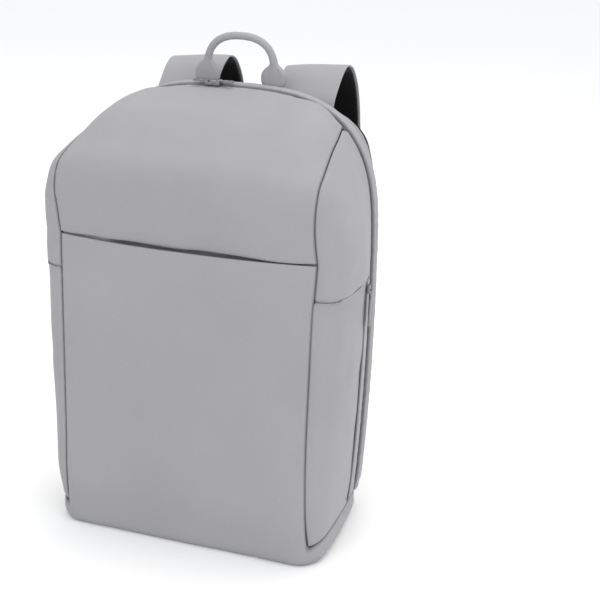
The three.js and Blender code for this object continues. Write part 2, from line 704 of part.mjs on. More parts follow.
const tabOut = 112; // from the middle to each foot tab
const tabUp = 50; // height of the foot tabs
const tabTall = 22;
const tabThick = 3;
const tabRim = 3; // how far the tab stands out past the webbing
const tabBack = backFace(0.5 - tabOut / archFootHalf / 2, 0.1).y + gap;
const tabTop = new THREE.Vector3(tabOut, tabBack + tabThick / 2, tabUp);
const tabSize = [webbingWidth + 2 * tabRim, tabTall, tabThick];
const tab = plate(tabTop, new THREE.Vector3(0, 0, -1), new THREE.Vector3(1, 0, 0), tabSize);
place("foot_tab_right", tab, grey);
place("foot_tab_left", mirrored(tab), grey);
const buckleEnd = buckleTop.clone().addScaledVector(endTangent, buckleTall + gap);
const webbingLead = 14; // how far the webbing runs straight at each of its ends
const webbingBow = 2; // how far it bows out over the tab
const webbingCurve = new THREE.CatmullRomCurve3([
  buckleEnd,
  buckleEnd.clone().addScaledVector(endTangent, webbingLead),
  new THREE.Vector3(
    mix(buckleEnd.x, tabOut, 0.6),
    mix(buckleEnd.y, tabTop.y, 0.62),
    mix(buckleEnd.z, tabUp, 0.55),
  ),
  tabTop.clone().add(new THREE.Vector3(0, webbingBow, webbingLead)),
  tabTop.clone().add(new THREE.Vector3(0, 0, gap)),
]);
const webbingRings = [];
for (let j = 0; j <= 12; j += 1) {
  const { at, across, out } = strapFrame(webbingCurve, j / 12);
  const toEdge = across.multiplyScalar(webbingWidth / 2);
  const toFace = out.multiplyScalar(webbingThick / 2);
  const corners = [[-1, 1], [1, 1], [1, -1], [-1, -1]];
  webbingRings.push(corners.map(([a, n]) => at.clone().addScaledVector(toEdge, a).addScaledVector(toFace, n)));
}
place("webbing_right", loft(webbingRings), grey);
place("webbing_left", mirrored(loft(webbingRings)), grey);

// Joins closed pieces into one solid.
function join(...pieces) {
  const solids = pieces.map((piece) => {
    const bare = new THREE.BufferGeometry();
    bare.setAttribute("position", piece.getAttribute("position"));
    if (piece.index) bare.setIndex(piece.index);
    const merged = mergeVertices(bare, 1e-4);
    const vertProperties = merged.attributes.position.array;
    const triVerts = new Uint32Array(merged.index.array);
    return new wasm.Manifold(new wasm.Mesh({ numProp: 3, vertProperties, triVerts }));
  });
  const whole = solids.reduce((sum, solid) => sum.add(solid)).getMesh();
  const geometry = new THREE.BufferGeometry();
  geometry.setAttribute("position", new THREE.BufferAttribute(new Float32Array(whole.vertProperties), 3));
  geometry.setIndex(new THREE.BufferAttribute(new Uint32Array(whole.triVerts), 1));
  geometry.computeVertexNormals();
  return geometry;
}
const block = (wide, deep, tall, x, y, z) => new THREE.BoxGeometry(wide, deep, tall).translate(x, y, z);

// A zip slider in its own frame: it runs along X, its zip lies under it, and its pull turns on a
// cross pin between two ears at its +X end.
const sliderLong = 8;
const sliderWide = 8.4;
const sliderTall = 2.6;
const earWide = 1.5;
const earLong = 3.4;
const pinRadius = 1.1;
const pinRise = sliderTall + 1.5; // height of the pull's pin over the zip
function sliderBody() {
  const base = block(sliderLong, sliderWide, sliderTall, 0, 0, sliderTall / 2);
  const earX = sliderLong / 2 - earLong / 2;
  const earY = (sliderWide - earWide) / 2;
  const earTall = pinRise + pinRadius;
  const ears = [-1, 1].map((side) => block(earLong, earWide, earTall, earX, side * earY, earTall / 2));
  return join(base, ...ears);
}
// Its pull, lying along +X from the pin: a barrel and a tab with a hole at its end.
function pullTab(long, wide, thick, hole) {
  const eyeWide = sliderWide - 2 * earWide - 2 * gap;
  const neck = 4.5;
  const shape = new THREE.Shape();
  shape.moveTo(-pinRadius * 0.4, -eyeWide / 2);
  shape.lineTo(neck, -eyeWide / 2);
  shape.lineTo(neck + 1.5, -wide / 2);
  shape.lineTo(long - 1.5, -wide / 2);
  shape.lineTo(long, -wide / 2 + 1.5);
  shape.lineTo(long, wide / 2 - 1.5);
  shape.lineTo(long - 1.5, wide / 2);
  shape.lineTo(neck + 1.5, wide / 2);
  shape.lineTo(neck, eyeWide / 2);
  shape.lineTo(-pinRadius * 0.4, eyeWide / 2);
  shape.closePath();
  const opening = new THREE.Path();
  opening.absarc(long - 1.8 - hole, 0, hole, 0, 2 * Math.PI, false);
  shape.holes.push(opening);
  const tabPlate = new THREE.ExtrudeGeometry(shape, { depth: thick, bevelEnabled: false, curveSegments: 6 });
  tabPlate.translate(0, 0, -thick / 2);
  const barrel = new THREE.CylinderGeometry(pinRadius, pinRadius, eyeWide, 10);
  return join(tabPlate, barrel);
}
// Places a slider and its pull: `forward` is the way the pull lies, and `up` stands off the zip.
function addSlider(name, at, forward, up, tab) {
  const basis = new THREE.Matrix4().makeBasis(forward, up.clone().cross(forward), up).setPosition(at);
  place(`${name}_slider`, sliderBody().applyMatrix4(basis), metal);
  const pin = new THREE.Vector3(sliderLong / 2 - earLong / 2, 0, pinRise);
  const pull = pullTab(tab.long, tab.wide, tab.thick, tab.hole).translate(pin.x, pin.y, pin.z);
  place(`${name}_pull`, pull.applyMatrix4(basis), metal);
}
const topSliders = { long: 15, wide: 8, thick: 1.6, hole: 1.9 };
const meetX = -21; // where the two top sliders meet
const sliderLift = 0.8; // height of a slider's underside over the arch line
for (const [name, side] of [["top_left", -1], ["top_right", 1]]) {
  const x = meetX + side * (sliderLong / 2 + gap / 2);
  const z = crownHeight(x) + sliderLift;
  const at = new THREE.Vector3(x, depthOf(archTop) + bandStart - gap - sliderWide / 2, z);
  addSlider(name, at, new THREE.Vector3(side, 0, 0), new THREE.Vector3(0, 0, 1), topSliders);
}

// The side zip, on the bag's right side only: a tape, its cover strip, its slider and its pull.
const sideZipTop = 266; // height of the zip's upper end
const sideZipFoot = 27; // height of its lower end
const sideZipShare = 0.71; // share of the side's depth where the zip runs
const flapReach = 0.86; // share of the depth where the cover strip ends
const flapThick = 1.4;
const zipThick = 0.9;
function sideStrip(fromShare, toShare, fromUp, toUp, thick, steps) {
  const low = sideShareAt(fromUp) / hemShare;
  const high = sideShareAt(toUp) / hemShare;
  const face = (u, v) => {
    const across = mix(fromShare, toShare, u);
    const up = mix(low, high, v);
    return sideLayer(across, up).addScaledVector(normalOf(sideLayer, across, up), gap + thick);
  };
  return panel(face, { across: 2, along: steps, thick, stand: 0 });
}
const zipShareWide = 0.03; // share of the depth that the tape takes
const zipEnd = sideZipShare + zipShareWide;
place("side_zip", sideStrip(sideZipShare, zipEnd, sideZipFoot, sideZipTop, zipThick, 12), zipGrey);
const flap = sideStrip(zipEnd + 0.005, flapReach, sideZipFoot, sideZipTop, flapThick, 12);
place("side_zip_flap", flap, grey);

const pullTop = 252; // height of the side slider's middle
const sideTab = { long: 36, wide: 9, thick: 1.8, hole: 2.4 };
const zipMiddle = sideZipShare + zipShareWide / 2;
const sliderUp = sideShareAt(pullTop) / hemShare;
const sideNormal = normalOf(sideLayer, zipMiddle, sliderUp);
const sideDown = new THREE.Vector3(0, 0, -1).addScaledVector(sideNormal, sideNormal.z).normalize();
const sideSeat = sideLayer(zipMiddle, sliderUp).addScaledVector(sideNormal, flapThick + 2 * gap);
addSlider("side", sideSeat, sideDown, sideNormal, sideTab);

// The origin is under the middle of the bag's box, on the floor.
const box = new THREE.Box3().setFromObject(bag);
const middle = box.getCenter(new THREE.Vector3());
bag.children.forEach((mesh) => mesh.position.set(-middle.x, -middle.y, -box.min.z));

export default bag;
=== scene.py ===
# A laptop backpack of smooth light grey coated cloth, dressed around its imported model. Metres, +Z up.
# The bag's front faces -Y and its back panel +Y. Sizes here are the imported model's own.
import math
import bmesh
import bpy
import numpy as np
from mathutils import Matrix, Vector
from mathutils.kdtree import KDTree


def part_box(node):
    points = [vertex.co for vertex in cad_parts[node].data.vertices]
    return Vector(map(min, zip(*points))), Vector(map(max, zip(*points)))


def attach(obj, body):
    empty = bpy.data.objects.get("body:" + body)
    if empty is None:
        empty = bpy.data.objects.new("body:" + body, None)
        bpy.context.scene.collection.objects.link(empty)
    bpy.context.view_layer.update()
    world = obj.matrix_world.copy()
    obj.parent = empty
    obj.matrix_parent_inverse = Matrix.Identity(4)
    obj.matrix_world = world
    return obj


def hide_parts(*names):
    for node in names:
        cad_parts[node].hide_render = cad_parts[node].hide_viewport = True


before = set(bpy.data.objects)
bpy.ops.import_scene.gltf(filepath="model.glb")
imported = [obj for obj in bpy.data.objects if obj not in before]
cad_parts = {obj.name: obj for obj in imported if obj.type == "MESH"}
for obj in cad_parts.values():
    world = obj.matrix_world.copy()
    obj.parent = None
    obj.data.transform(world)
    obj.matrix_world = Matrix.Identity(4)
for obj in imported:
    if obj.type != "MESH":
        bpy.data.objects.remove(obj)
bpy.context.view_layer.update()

# The front pocket and the base are one piece of coated cloth, sewn at the sides along a seam that
# wanders with the filling. The seams' lines, and the way cloth is cut and rolled into them, are
# set here, because every other panel is sewn to the same lines.
SEAM_HALF = 0.134  # from the middle to each front seam
POCKET_TOP = 0.3125  # height of the front pocket's mouth
CORNER_HEIGHT = 0.021  # height where the front seam ends at the base
SIDE_POCKET_TOP = 0.278
ARCH_HALF = 0.149
ARCH_TOP = 0.450
ARCH_SPRING = 0.300  # height where the zip arch starts to round
ARCH_POWER = 3.0
ARCH_FOOT_HALF = 0.138
ZIP_DEPTH = 0.136
LEAN = 0.014  # how far the arch leans forward at its top
JUNCTION_TURN = math.radians(46)  # how far up the arch the front seam meets it
BACK_HALF = 0.143
BACK_TOP = 0.437
BACK_POWER = 4.6
BAG_DEPTH = 0.160
FOOT_HEIGHT = 0.024
SEAM_WAVE = 0.010
SIDE_SWELL = 0.022
STRIP_RISE = 0.007
MOUTH_SHARE = 0.6  # share of the side's height, along its seams, that is below the pocket's mouth

# The scene's shapes are made in the bag's own plan, whose front is at y = 0, and are then moved here.
pocket_low, pocket_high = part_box("front_pocket_base")
SHIFT = np.array([(pocket_low[0] + pocket_high[0]) / 2, pocket_high[1] - BAG_DEPTH, 0.0])

LOWER_SEAM = {
    "up": (0.0, 0.09, 0.3, 0.56, 0.8, 1.0),
    "out": (1.0, 0.99, 0.978, 0.981, 0.99, 1.006),
    "back": (0.45, -0.1, -0.26, -0.1, 0.15, 0.6),
}
UPPER_SEAM = {
    "along": (0.0, 0.145, 0.245, 0.365, 0.505, 0.665, 0.855, 1.0),
    "up": (0.0, 0.264, 0.45, 0.662, 0.79, 0.893, 0.95, 1.0),
    "back": (0.0, -0.06, -0.085, -0.017, 0.188, 0.444, 0.76, 1.0),
    "in": (0.0, 0.04, 0.0, 0.0, 0.12, 0.35, 0.7, 1.0),
}
SIDE_PROFILE = {
    "along": (0.0, 0.08, 0.16, 0.25, 0.4, 0.6, 0.8, 1.0),
    "depth": (0.0, 0.012, 0.06, 0.15, 0.32, 0.54, 0.77, 1.0),
    "swell": (0.0, 0.42, 0.8, 1.0, 1.0, 0.82, 0.45, 0.0),
}
SIDE_HEIGHTS = {
    "up": (0.0, 0.06, 0.17, 0.34, 0.6, 0.66, 0.72, 0.8, 1.0),
    "swell": (0.5, 0.68, 0.84, 0.93, 1.0, 0.92, 0.6, 0.28, 0.0),
}


def read(table, column, at):
    """A column of a table, read at values of its first column with a smooth curve."""
    xs = np.array(next(iter(table.values())))
    ys = np.array(table[column])
    slopes = np.diff(ys) / np.diff(xs)
    at = np.asarray(at, float)
    i = np.searchsorted(xs[1:-1], at, side="left")
    here = slopes[i]
    before = np.where(i > 0, (slopes[np.maximum(i - 1, 0)] + here) / 2, here)
    after = np.where(i < len(slopes) - 1, (here + slopes[np.minimum(i + 1, len(slopes) - 1)]) / 2, here)
    step = xs[i + 1] - xs[i]
    rise = ys[i + 1] - ys[i]
    t = np.clip((at - xs[i]) / step, 0, 1)
    return ys[i] + rise * t + t * (1 - t) * ((1 - t) * (before * step - rise) - t * (after * step - rise))


def mix(a, b, t):
    return a + (b - a) * t


def smooth(a, b, x):
    t = np.clip((np.asarray(x, float) - a) / (b - a), 0, 1)
    return t * t * (3 - 2 * t)


def points(x, y, z):
    return np.stack(np.broadcast_arrays(x, y, z), axis=-1).astype(float)


class Arch:
    """A squarish arch seen from the front, from its foot on the +X side up to its crown."""

    def __init__(self, half, top, power, foot_half):
        leg = np.linspace(0, 1, 60, endpoint=False)
        turn = np.linspace(0, math.pi / 2, 500)
        leg_x = mix(foot_half, half, 1 - (1 - leg) ** 2.2)
        turn_x = half * np.cos(turn).clip(0) ** (2 / power)
        turn_z = ARCH_SPRING + (top - ARCH_SPRING) * np.sin(turn) ** (2 / power)
        self.x = np.concatenate([leg_x, turn_x])
        self.z = np.concatenate([mix(FOOT_HEIGHT, ARCH_SPRING, leg), turn_z])
        self.x[-1] = 0
        reach = np.concatenate([[0], np.cumsum(np.hypot(np.diff(self.x), np.diff(self.z)))])
        self.length = reach[-1]
        self.share = reach / reach[-1]

    def at(self, share):
        """X and Z at a share of the arch's length."""
        return np.interp(share, self.share, self.x), np.interp(share, self.share, self.z)

    def out(self, share, small=0.004):
        """The outward direction in X and Z at a share of the length."""
        x0, z0 = self.at(np.clip(share - small, 0, 1))
        x1, z1 = self.at(np.clip(share + small, 0, 1))
        run = np.hypot(x1 - x0, z1 - z0)
        return (z1 - z0) / run, (x0 - x1) / run

    def share_at_height(self, z):
        return float(np.interp(z, self.z, self.share))


zip_arch = Arch(ARCH_HALF, ARCH_TOP, ARCH_POWER, ARCH_FOOT_HALF)
back_arch = Arch(BACK_HALF, BACK_TOP, BACK_POWER, ARCH_FOOT_HALF - 0.004)


def depth_of(z):
    return ZIP_DEPTH - LEAN * z / ARCH_TOP


def back_of(z):
    return BAG_DEPTH - LEAN * z / ARCH_TOP


junction_z = ARCH_SPRING + (ARCH_TOP - ARCH_SPRING) * math.sin(JUNCTION_TURN) ** (2 / ARCH_POWER)
junction = (ARCH_HALF * math.cos(JUNCTION_TURN) ** (2 / ARCH_POWER), depth_of(junction_z), junction_z)
spring_share = zip_arch.share_at_height(ARCH_SPRING)
junction_share = zip_arch.share_at_height(junction_z)


def seam_point(v):
    """The front seam on the +X side, from the base (v = 0) to the zip arch."""
    up = np.clip(v / MOUTH_SHARE, 0, 1)
    low = points(SEAM_HALF * read(LOWER_SEAM, "out", up), SEAM_WAVE * read(LOWER_SEAM, "back", up),
                 mix(CORNER_HEIGHT, POCKET_TOP, up))
    along = np.clip((v - MOUTH_SHARE) / (1 - MOUTH_SHARE), 0, 1)
    mouth_x = SEAM_HALF * LOWER_SEAM["out"][-1]
    mouth_y = SEAM_WAVE * LOWER_SEAM["back"][-1]
    high = points(mix(mouth_x, junction[0], read(UPPER_SEAM, "in", along)),
                  mix(mouth_y, junction[1], read(UPPER_SEAM, "back", along)),
                  mix(POCKET_TOP, junction[2], read(UPPER_SEAM, "up", along)))
    return np.where((np.asarray(v) <= MOUTH_SHARE)[..., None], low, high)


def arch_point(v):
    """The zip arch on the +X side at the same share of the side's height."""
    t = np.where(v <= MOUTH_SHARE, v / MOUTH_SHARE, (v - MOUTH_SHARE) / (1 - MOUTH_SHARE))
    low = mix(0, spring_share, t)
    high = mix(spring_share, junction_share, t)
    x, z = zip_arch.at(np.where(v <= MOUTH_SHARE, low, high))
    return points(x, depth_of(z), z)


def side_face(u, v):
    """The +X side's outer face, from the front seam (u = 0) to the zip arch."""
    u, v = np.broadcast_arrays(np.asarray(u, float), np.asarray(v, float))
    point = mix(seam_point(v), arch_point(v), read(SIDE_PROFILE, "depth", u)[..., None])
    point[..., 0] += SIDE_SWELL * read(SIDE_HEIGHTS, "swell", v) * read(SIDE_PROFILE, "swell", u)
    point[..., 2] += STRIP_RISE * np.sin(math.pi * u) * (1 - v) ** 8
    return point


def normal_of(face, u, v, small=1e-3):
    """The outward normal of a face at shares u across and v along it."""
    u, v = np.broadcast_arrays(np.asarray(u, float), np.asarray(v, float))
    across = face(np.clip(u + small, 0, 1), v) - face(np.clip(u - small, 0, 1), v)
    along = face(u, np.clip(v + small, 0, 1)) - face(u, np.clip(v - small, 0, 1))
    normal = np.cross(across, along)
    return normal / np.maximum(np.linalg.norm(normal, axis=-1, keepdims=True), 1e-12)


def wander(point, scale, seed, waves=7):
    """A gentle random swell between about -1 and 1, whose lumps are about `scale` metres long."""
    rng = np.random.default_rng(seed)
    total = np.zeros(point.shape[:-1])
    for _ in range(waves):
        direction = rng.normal(size=3)
        direction *= rng.uniform(0.6, 1.4) * 2 * math.pi / scale / np.linalg.norm(direction)
        total += np.sin(point @ direction + rng.uniform(0, 2 * math.pi))
    return total / math.sqrt(waves)


SEAM_STEPS = np.array([0.0, 0.5, 1.0, 1.6, 2.3, 3.2, 4.4, 6.0, 8.0, 11.0]) / 1000  # rows near a seam


def shares(length, step):
    """Shares of a length at an even step, with closer rows near both of its ends."""
    near = SEAM_STEPS * min(1, length / (2.5 * SEAM_STEPS[-1]))
    count = max(2, int(round((length - 2 * near[-1]) / step)))
    middle = np.linspace(near[-1], length - near[-1], count + 1)[1:-1]
    return np.concatenate([near, middle, (length - near)[::-1]]) / length


def face_lengths(face):
    """About how wide and tall a face is, in metres."""
    t = np.linspace(0, 1, 60)
    wide = np.linalg.norm(np.diff(face(t, np.full(60, 0.5)), axis=0), axis=-1).sum()
    tall = np.linalg.norm(np.diff(face(np.full(60, 0.5), t), axis=0), axis=-1).sum()
    return wide, tall


ROLL_WIDE = 0.0034  # how far from a seam the cloth starts to roll into it
ROLL_DEEP = 0.0015
PUCKER = 0.00035  # height of the small gathers that the seam's thread draws up
GATHER_STEP = 0.013  # from one gather to the next
GATHER_DRIFT = 0.047  # the length over which the gathers' spacing drifts
GATHER_START = 0.0015
GATHER_REACH = 0.006
SEAM_SHADE = 0.0028  # how far from a seam its line of painted shade reaches
BROAD_DENT = 0.085
SMALL_DENT = 0.035
SMALL_SHARE = 0.35  # the small dents' height as a share of the broad ones'
DENT_FREE = 0.02  # how far from its seams a panel has its full dents
WALL = 0.002


def cloth_shell(name, face, step=0.004, wall=WALL, rolls=(1, 1, 1, 1), dents=0.0, seed=1, extra=None):
    """A cloth panel as a closed shell. rolls says how deep it rolls into its seams at u 0, u 1, v 0, v 1, and how
    strong the painted shade beside each seam is.
    """
    wide, tall = face_lengths(face)
    u, v = np.meshgrid(shares(wide, step), shares(tall, step))
    outer = face(u, v)
    normal = normal_of(face, u, v)
    gaps = (u * wide, (1 - u) * wide, v * tall, (1 - v) * tall)
    runs = (v * tall, v * tall, u * wide, u * wide)
    sink = np.zeros_like(u)
    # seam is the painted shade beside the seams, strongest where the cloth rolls in deepest
    seam = np.zeros_like(u)
    for side, (away, run, roll) in enumerate(zip(gaps, runs, rolls)):
        if roll == 0:
            continue
        sink = np.maximum(sink, roll * ROLL_DEEP * np.clip(1 - away / ROLL_WIDE, 0, 1) ** 2)
        drift = 1.6 * np.sin(run * 2 * math.pi / GATHER_DRIFT + seed + side)
        gather = np.sin(run * 2 * math.pi / GATHER_STEP + drift)
        near = np.exp(-away / GATHER_REACH) * np.clip(away / GATHER_START, 0, 1)
        sink += PUCKER * roll * near * gather
        seam = np.maximum(seam, min(1, roll) * np.clip(1 - away / SEAM_SHADE, 0, 1))
    lift = dents * wander(outer, BROAD_DENT, seed) + SMALL_SHARE * dents * wander(outer, SMALL_DENT, seed + 5)
    edge_free = smooth(0, DENT_FREE, np.minimum.reduce(gaps))
    outer = outer + normal * (lift * edge_free - sink)[..., None]
    if extra is not None:
        outer = outer + normal * extra(u, v)[..., None]
    outer[..., 2] = np.maximum(outer[..., 2], 0)
    inner = outer - normal * wall
    return shell_mesh(name, outer, inner, u * wide, v * tall, seam)


def lay_flat(mesh, flat):
    """Gives a mesh its UV map, in metres, from a flat place for each of its vertices."""
    corners = np.zeros(len(mesh.loops), dtype=np.int32)
    mesh.loops.foreach_get("vertex_index", corners)
    mesh.uv_layers.new(name="cloth").data.foreach_set("uv", flat[corners].astype(np.float32).ravel())


def shell_mesh(name, outer, inner, flat_u, flat_v, seam):
    """A closed mesh from the points of an outer and an inner face."""
    rows, columns = outer.shape[:2]
    at = np.arange(rows * columns).reshape(rows, columns)
    back = at + rows * columns
    faces = []
    for grid, order in ((at, (0, 1, 2, 3)), (back, (0, 3, 2, 1))):
        corners = (grid[:-1, :-1], grid[:-1, 1:], grid[1:, 1:], grid[1:, :-1])
        faces.append(np.stack([corners[k] for k in order], axis=-1).reshape(-1, 4))
    edges = ((at[0], back[0], True), (at[-1], back[-1], False),
             (at[:, 0], back[:, 0], False), (at[:, -1], back[:, -1], True))
    for near, far, flip in edges:
        quads = np.stack([near[:-1], near[1:], far[1:], far[:-1]], axis=-1)
        faces.append(quads[:, ::-1] if flip else quads)
    faces = np.concatenate(faces)
    verts = np.concatenate([outer.reshape(-1, 3), inner.reshape(-1, 3)]) + SHIFT
    mesh = bpy.data.meshes.new(name)
    mesh.from_pydata(verts.tolist(), [], faces[:, ::-1].tolist())
    lay_flat(mesh, np.tile(np.stack([flat_u, flat_v], axis=-1).reshape(-1, 2), (2, 1)))
    # the seam attribute carries the painted shade beside the seams to the material
    shade = mesh.attributes.new("seam", "FLOAT", "POINT")
    shade.data.foreach_set("value", np.tile(seam.reshape(-1), 2).astype(np.float32))
    return finished(name, mesh)


def finished(name, mesh):
    """An object of a mesh at the origin, with its faces turned outwards."""
    work = bmesh.new()
    work.from_mesh(mesh)
    bmesh.ops.recalc_face_normals(work, faces=work.faces)
    work.to_mesh(mesh)
    work.free()
    mesh.polygons.foreach_set("use_smooth", [True] * len(mesh.polygons))
    piece = bpy.data.objects.new(name, mesh)
    bpy.context.scene.collection.objects.link(piece)
    return piece


def feed(tree, socket, value):
    """Sets a socket to a value, or links it to the output given."""
    if isinstance(value, bpy.types.NodeSocket):
        tree.links.new(value, socket)
    else:
        socket.default_value = value


def node(tree, kind, **inputs):
    """A shader node with some of its inputs set: each is a value, or the output that it is linked to."""
    made = tree.nodes.new(kind)
    for key, value in inputs.items():
        feed(tree, made.inputs[key.replace("_", " ")], value)
    return made


def blank_material(name):
    material = bpy.data.materials.new(name)
    material.use_nodes = True
    tree = material.node_tree
    tree.nodes.clear()
    return material, tree


def noise(tree, scale, detail, roughness=0.5):
    """Random clouds in the piece's own space."""
    place = tree.nodes.new("ShaderNodeTexCoord").outputs["Object"]
    made = node(tree, "ShaderNodeTexNoise", Vector=place, Scale=scale, Detail=detail, Roughness=roughness)
    return made.outputs["Fac"]


def flat_place(tree):
    """The piece's UV map, in metres along its cloth."""
    made = node(tree, "ShaderNodeUVMap")
    made.uv_map = "cloth"
    return made.outputs[0]


def maths(tree, operation, a, b=0.0):
    made = tree.nodes.new("ShaderNodeMath")
    made.operation = operation
    feed(tree, made.inputs[0], a)
    feed(tree, made.inputs[1], b)
    return made.outputs[0]


def blend_colour(tree, share, a, b):
    made = tree.nodes.new("ShaderNodeMix")
    made.data_type = "RGBA"
    for place, value in ((0, share), (6, a), (7, b)):
        feed(tree, made.inputs[place], value)
    return made.outputs[2]


def grade(tree, value, low, high):
    """A value's range from low to high, stretched to 0 to 1."""
    made = node(tree, "ShaderNodeMapRange", Value=value)
    made.inputs["From Min"].default_value = low
    made.inputs["From Max"].default_value = high
    return made.outputs[0]


def bands(tree, vector, axis, period):
    """Ribs along one axis of a vector, one in each period of metres."""
    made = node(tree, "ShaderNodeTexWave", Vector=vector, Scale=2 * math.pi / 20 / period)
    made.wave_type = "BANDS"
    made.bands_direction = axis
    return made.outputs["Fac"]


def finish_shader(tree, colour, roughness, bump_height, bump_distance, **constants):
    """The surface: constants are set on the shader's own sockets."""
    bump = node(tree, "ShaderNodeBump", Height=bump_height, Distance=bump_distance, Strength=1.0)
    shader = node(tree, "ShaderNodeBsdfPrincipled", Base_Color=colour, Roughness=roughness,
                  Normal=bump.outputs[0])
    for key, value in constants.items():
        shader.inputs[key.replace("_", " ")].default_value = value
    output = tree.nodes.new("ShaderNodeOutputMaterial")
    tree.links.new(shader.outputs[0], output.inputs[0])


WEAVE = 0.00055  # from one yarn of the coated cloth to the next
LIGHT_GREY = (0.296, 0.294, 0.309, 1)
SHADE_GREY = (0.271, 0.269, 0.283, 1)
# the colour of the painted shade in the creases where the cloth rolls into its seams
PAINTED_SHADE_GREY = (0.06, 0.06, 0.064, 1)


def coated_cloth(name, light=LIGHT_GREY, dark=SHADE_GREY, rough=0.62):
    """Fine plain-woven cloth under a matte coating, with painted shade where it rolls into a seam."""
    material, tree = blank_material(name)
    flat = flat_place(tree)
    drift = noise(tree, 7.0, 3.0)
    cloud = noise(tree, 60.0, 4.0, 0.6)
    grain = noise(tree, 1500.0, 2.0, 0.6)
    colour = blend_colour(tree, grade(tree, drift, 0.3, 0.7), dark, light)
    specks = maths(tree, "MULTIPLY", grade(tree, grain, 0.35, 0.75), 0.10)
    colour = blend_colour(tree, specks, colour, (0.62, 0.62, 0.63, 1))
    # painted shade: the colour darkens towards the seams' creases, by the seam attribute
    seam = tree.nodes.new("ShaderNodeAttribute")
    seam.attribute_name = "seam"
    painted_shade = maths(tree, "MULTIPLY", maths(tree, "POWER", seam.outputs["Fac"], 1.6), 0.8)
    colour = blend_colour(tree, painted_shade, colour, PAINTED_SHADE_GREY)
    warp = bands(tree, flat, "X", WEAVE)
    weft = bands(tree, flat, "Y", WEAVE)
    weave = maths(tree, "MULTIPLY", maths(tree, "MULTIPLY", warp, weft), 0.5)
    height = maths(tree, "ADD", weave, maths(tree, "MULTIPLY", grain, 0.35))
    height = maths(tree, "ADD", height, maths(tree, "MULTIPLY", cloud, 1.2))
    roughness = maths(tree, "ADD", maths(tree, "MULTIPLY", cloud, 0.12), rough - 0.06)
    finish_shader(tree, colour, roughness, height, 0.00016, Sheen_Weight=0.12, Sheen_Roughness=0.45,
                  Specular_IOR_Level=0.32)
    return material


cloth_grey = coated_cloth("coated_cloth")

# The front pocket runs on under the bag as its base and turns up at both sides as a low strip, all of
# one cloth with no seam at the front's bottom edge. Its mouth is a rolled hem, left open but for the
# sewn stretch at the bag's left.
FOLD_SHARE = 0.46  # share of the cloth's length that is base
FOLD_REACH = 0.06
BASE_EDGE = 0.012
REAR_EDGE = 0.020
FRONT_EDGE = 0.008
EDGE_FORWARD = 0.003
MOUTH_BULGE = 0.013
BULGE = {"up": (0.0, 0.3, 0.7, 0.93, 1.0), "bulge": (0.16, 0.4, 0.62, 0.9, 1.0)}


def along_line(line, share):
    """Points on a polyline at shares of its length."""
    reach = np.concatenate([[0], np.cumsum(np.linalg.norm(np.diff(line, axis=0), axis=1))])
    share = np.asarray(share, float) * reach[-1]
    return np.stack([np.interp(share, reach, line[:, k]) for k in range(line.shape[1])], axis=-1)


rear_corner = np.array([[ARCH_FOOT_HALF - 0.004, BAG_DEPTH - 0.0005, FOOT_HEIGHT]])
base_rim = np.concatenate([rear_corner, side_face(np.linspace(1, 0, 120), np.zeros(120))])
quarter = np.linspace(0, math.pi / 2, 24)
keel = np.concatenate([
    [[BAG_DEPTH, FOOT_HEIGHT]],
    np.stack([BAG_DEPTH - REAR_EDGE + REAR_EDGE * np.cos(quarter), REAR_EDGE - REAR_EDGE * np.sin(quarter)], axis=1),
    np.stack([FRONT_EDGE - EDGE_FORWARD - FRONT_EDGE * np.sin(quarter),
              FRONT_EDGE - FRONT_EDGE * np.cos(quarter)], axis=1),
])


def front_cloth(u, v):
    """The cloth from the base's rear edge (v = 0) under the bag and up to the mouth, and from -X to +X."""
    u, v = np.broadcast_arrays(np.asarray(u, float), np.asarray(v, float))
    base = v < FOLD_SHARE
    t = np.clip(v / FOLD_SHARE, 0, 1)
    up = np.clip((v - FOLD_SHARE) / (1 - FOLD_SHARE), 0, 1)
    seam = seam_point(up * MOUTH_SHARE)
    rim = np.where(base[..., None], along_line(base_rim, t), seam)
    low = along_line(keel, t)
    bulged = seam[..., 1] - MOUTH_BULGE * read(BULGE, "bulge", up)
    middle_y = np.where(base, low[..., 0], mix(-EDGE_FORWARD, bulged, smooth(0, 0.15, up)))
    middle_z = np.where(base, low[..., 1], mix(FRONT_EDGE, POCKET_TOP, up))
    turn = np.where(base, smooth(0, 0.16, t) * (1 - 0.88 * smooth(0.88, 1, t)), 0.12 * (1 - smooth(0, 0.1, up)))
    share = np.abs(2 * u - 1)
    height = np.maximum(0.0001, rim[..., 2] - middle_z)
    edge = np.minimum(BASE_EDGE, height)
    flat = rim[..., 0] - edge
    turned = edge * math.pi / 2
    reach = share * (flat + turned + height - edge)
    angle = np.clip((reach - flat) / turned, 0, 1) * math.pi / 2
    turned_x = np.minimum(reach, flat) + edge * np.sin(angle)
    turned_z = edge * (1 - np.cos(angle)) + np.maximum(0, reach - flat - turned)
    x = mix(rim[..., 0] * share, turned_x, turn)
    at_fold = np.exp(-((v - FOLD_SHARE) / FOLD_REACH) ** 2)  # the front edge stays straight to its corners
    z = middle_z + mix(height * share ** mix(6, 30, at_fold), turned_z, turn) * (rim[..., 2] > middle_z)
    y = mix(middle_y, rim[..., 1], share ** mix(2.4, 22, at_fold))
    return points(np.where(u < 0.5, -1, 1) * x, y, z)


front = cloth_shell("front_pocket_and_base", front_cloth, step=0.0045, rolls=(1, 1, 1, 0), dents=0.0006,
                    seed=11)
front.data.materials.append(cloth_grey)
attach(front, "bag")
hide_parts("front_pocket_base")

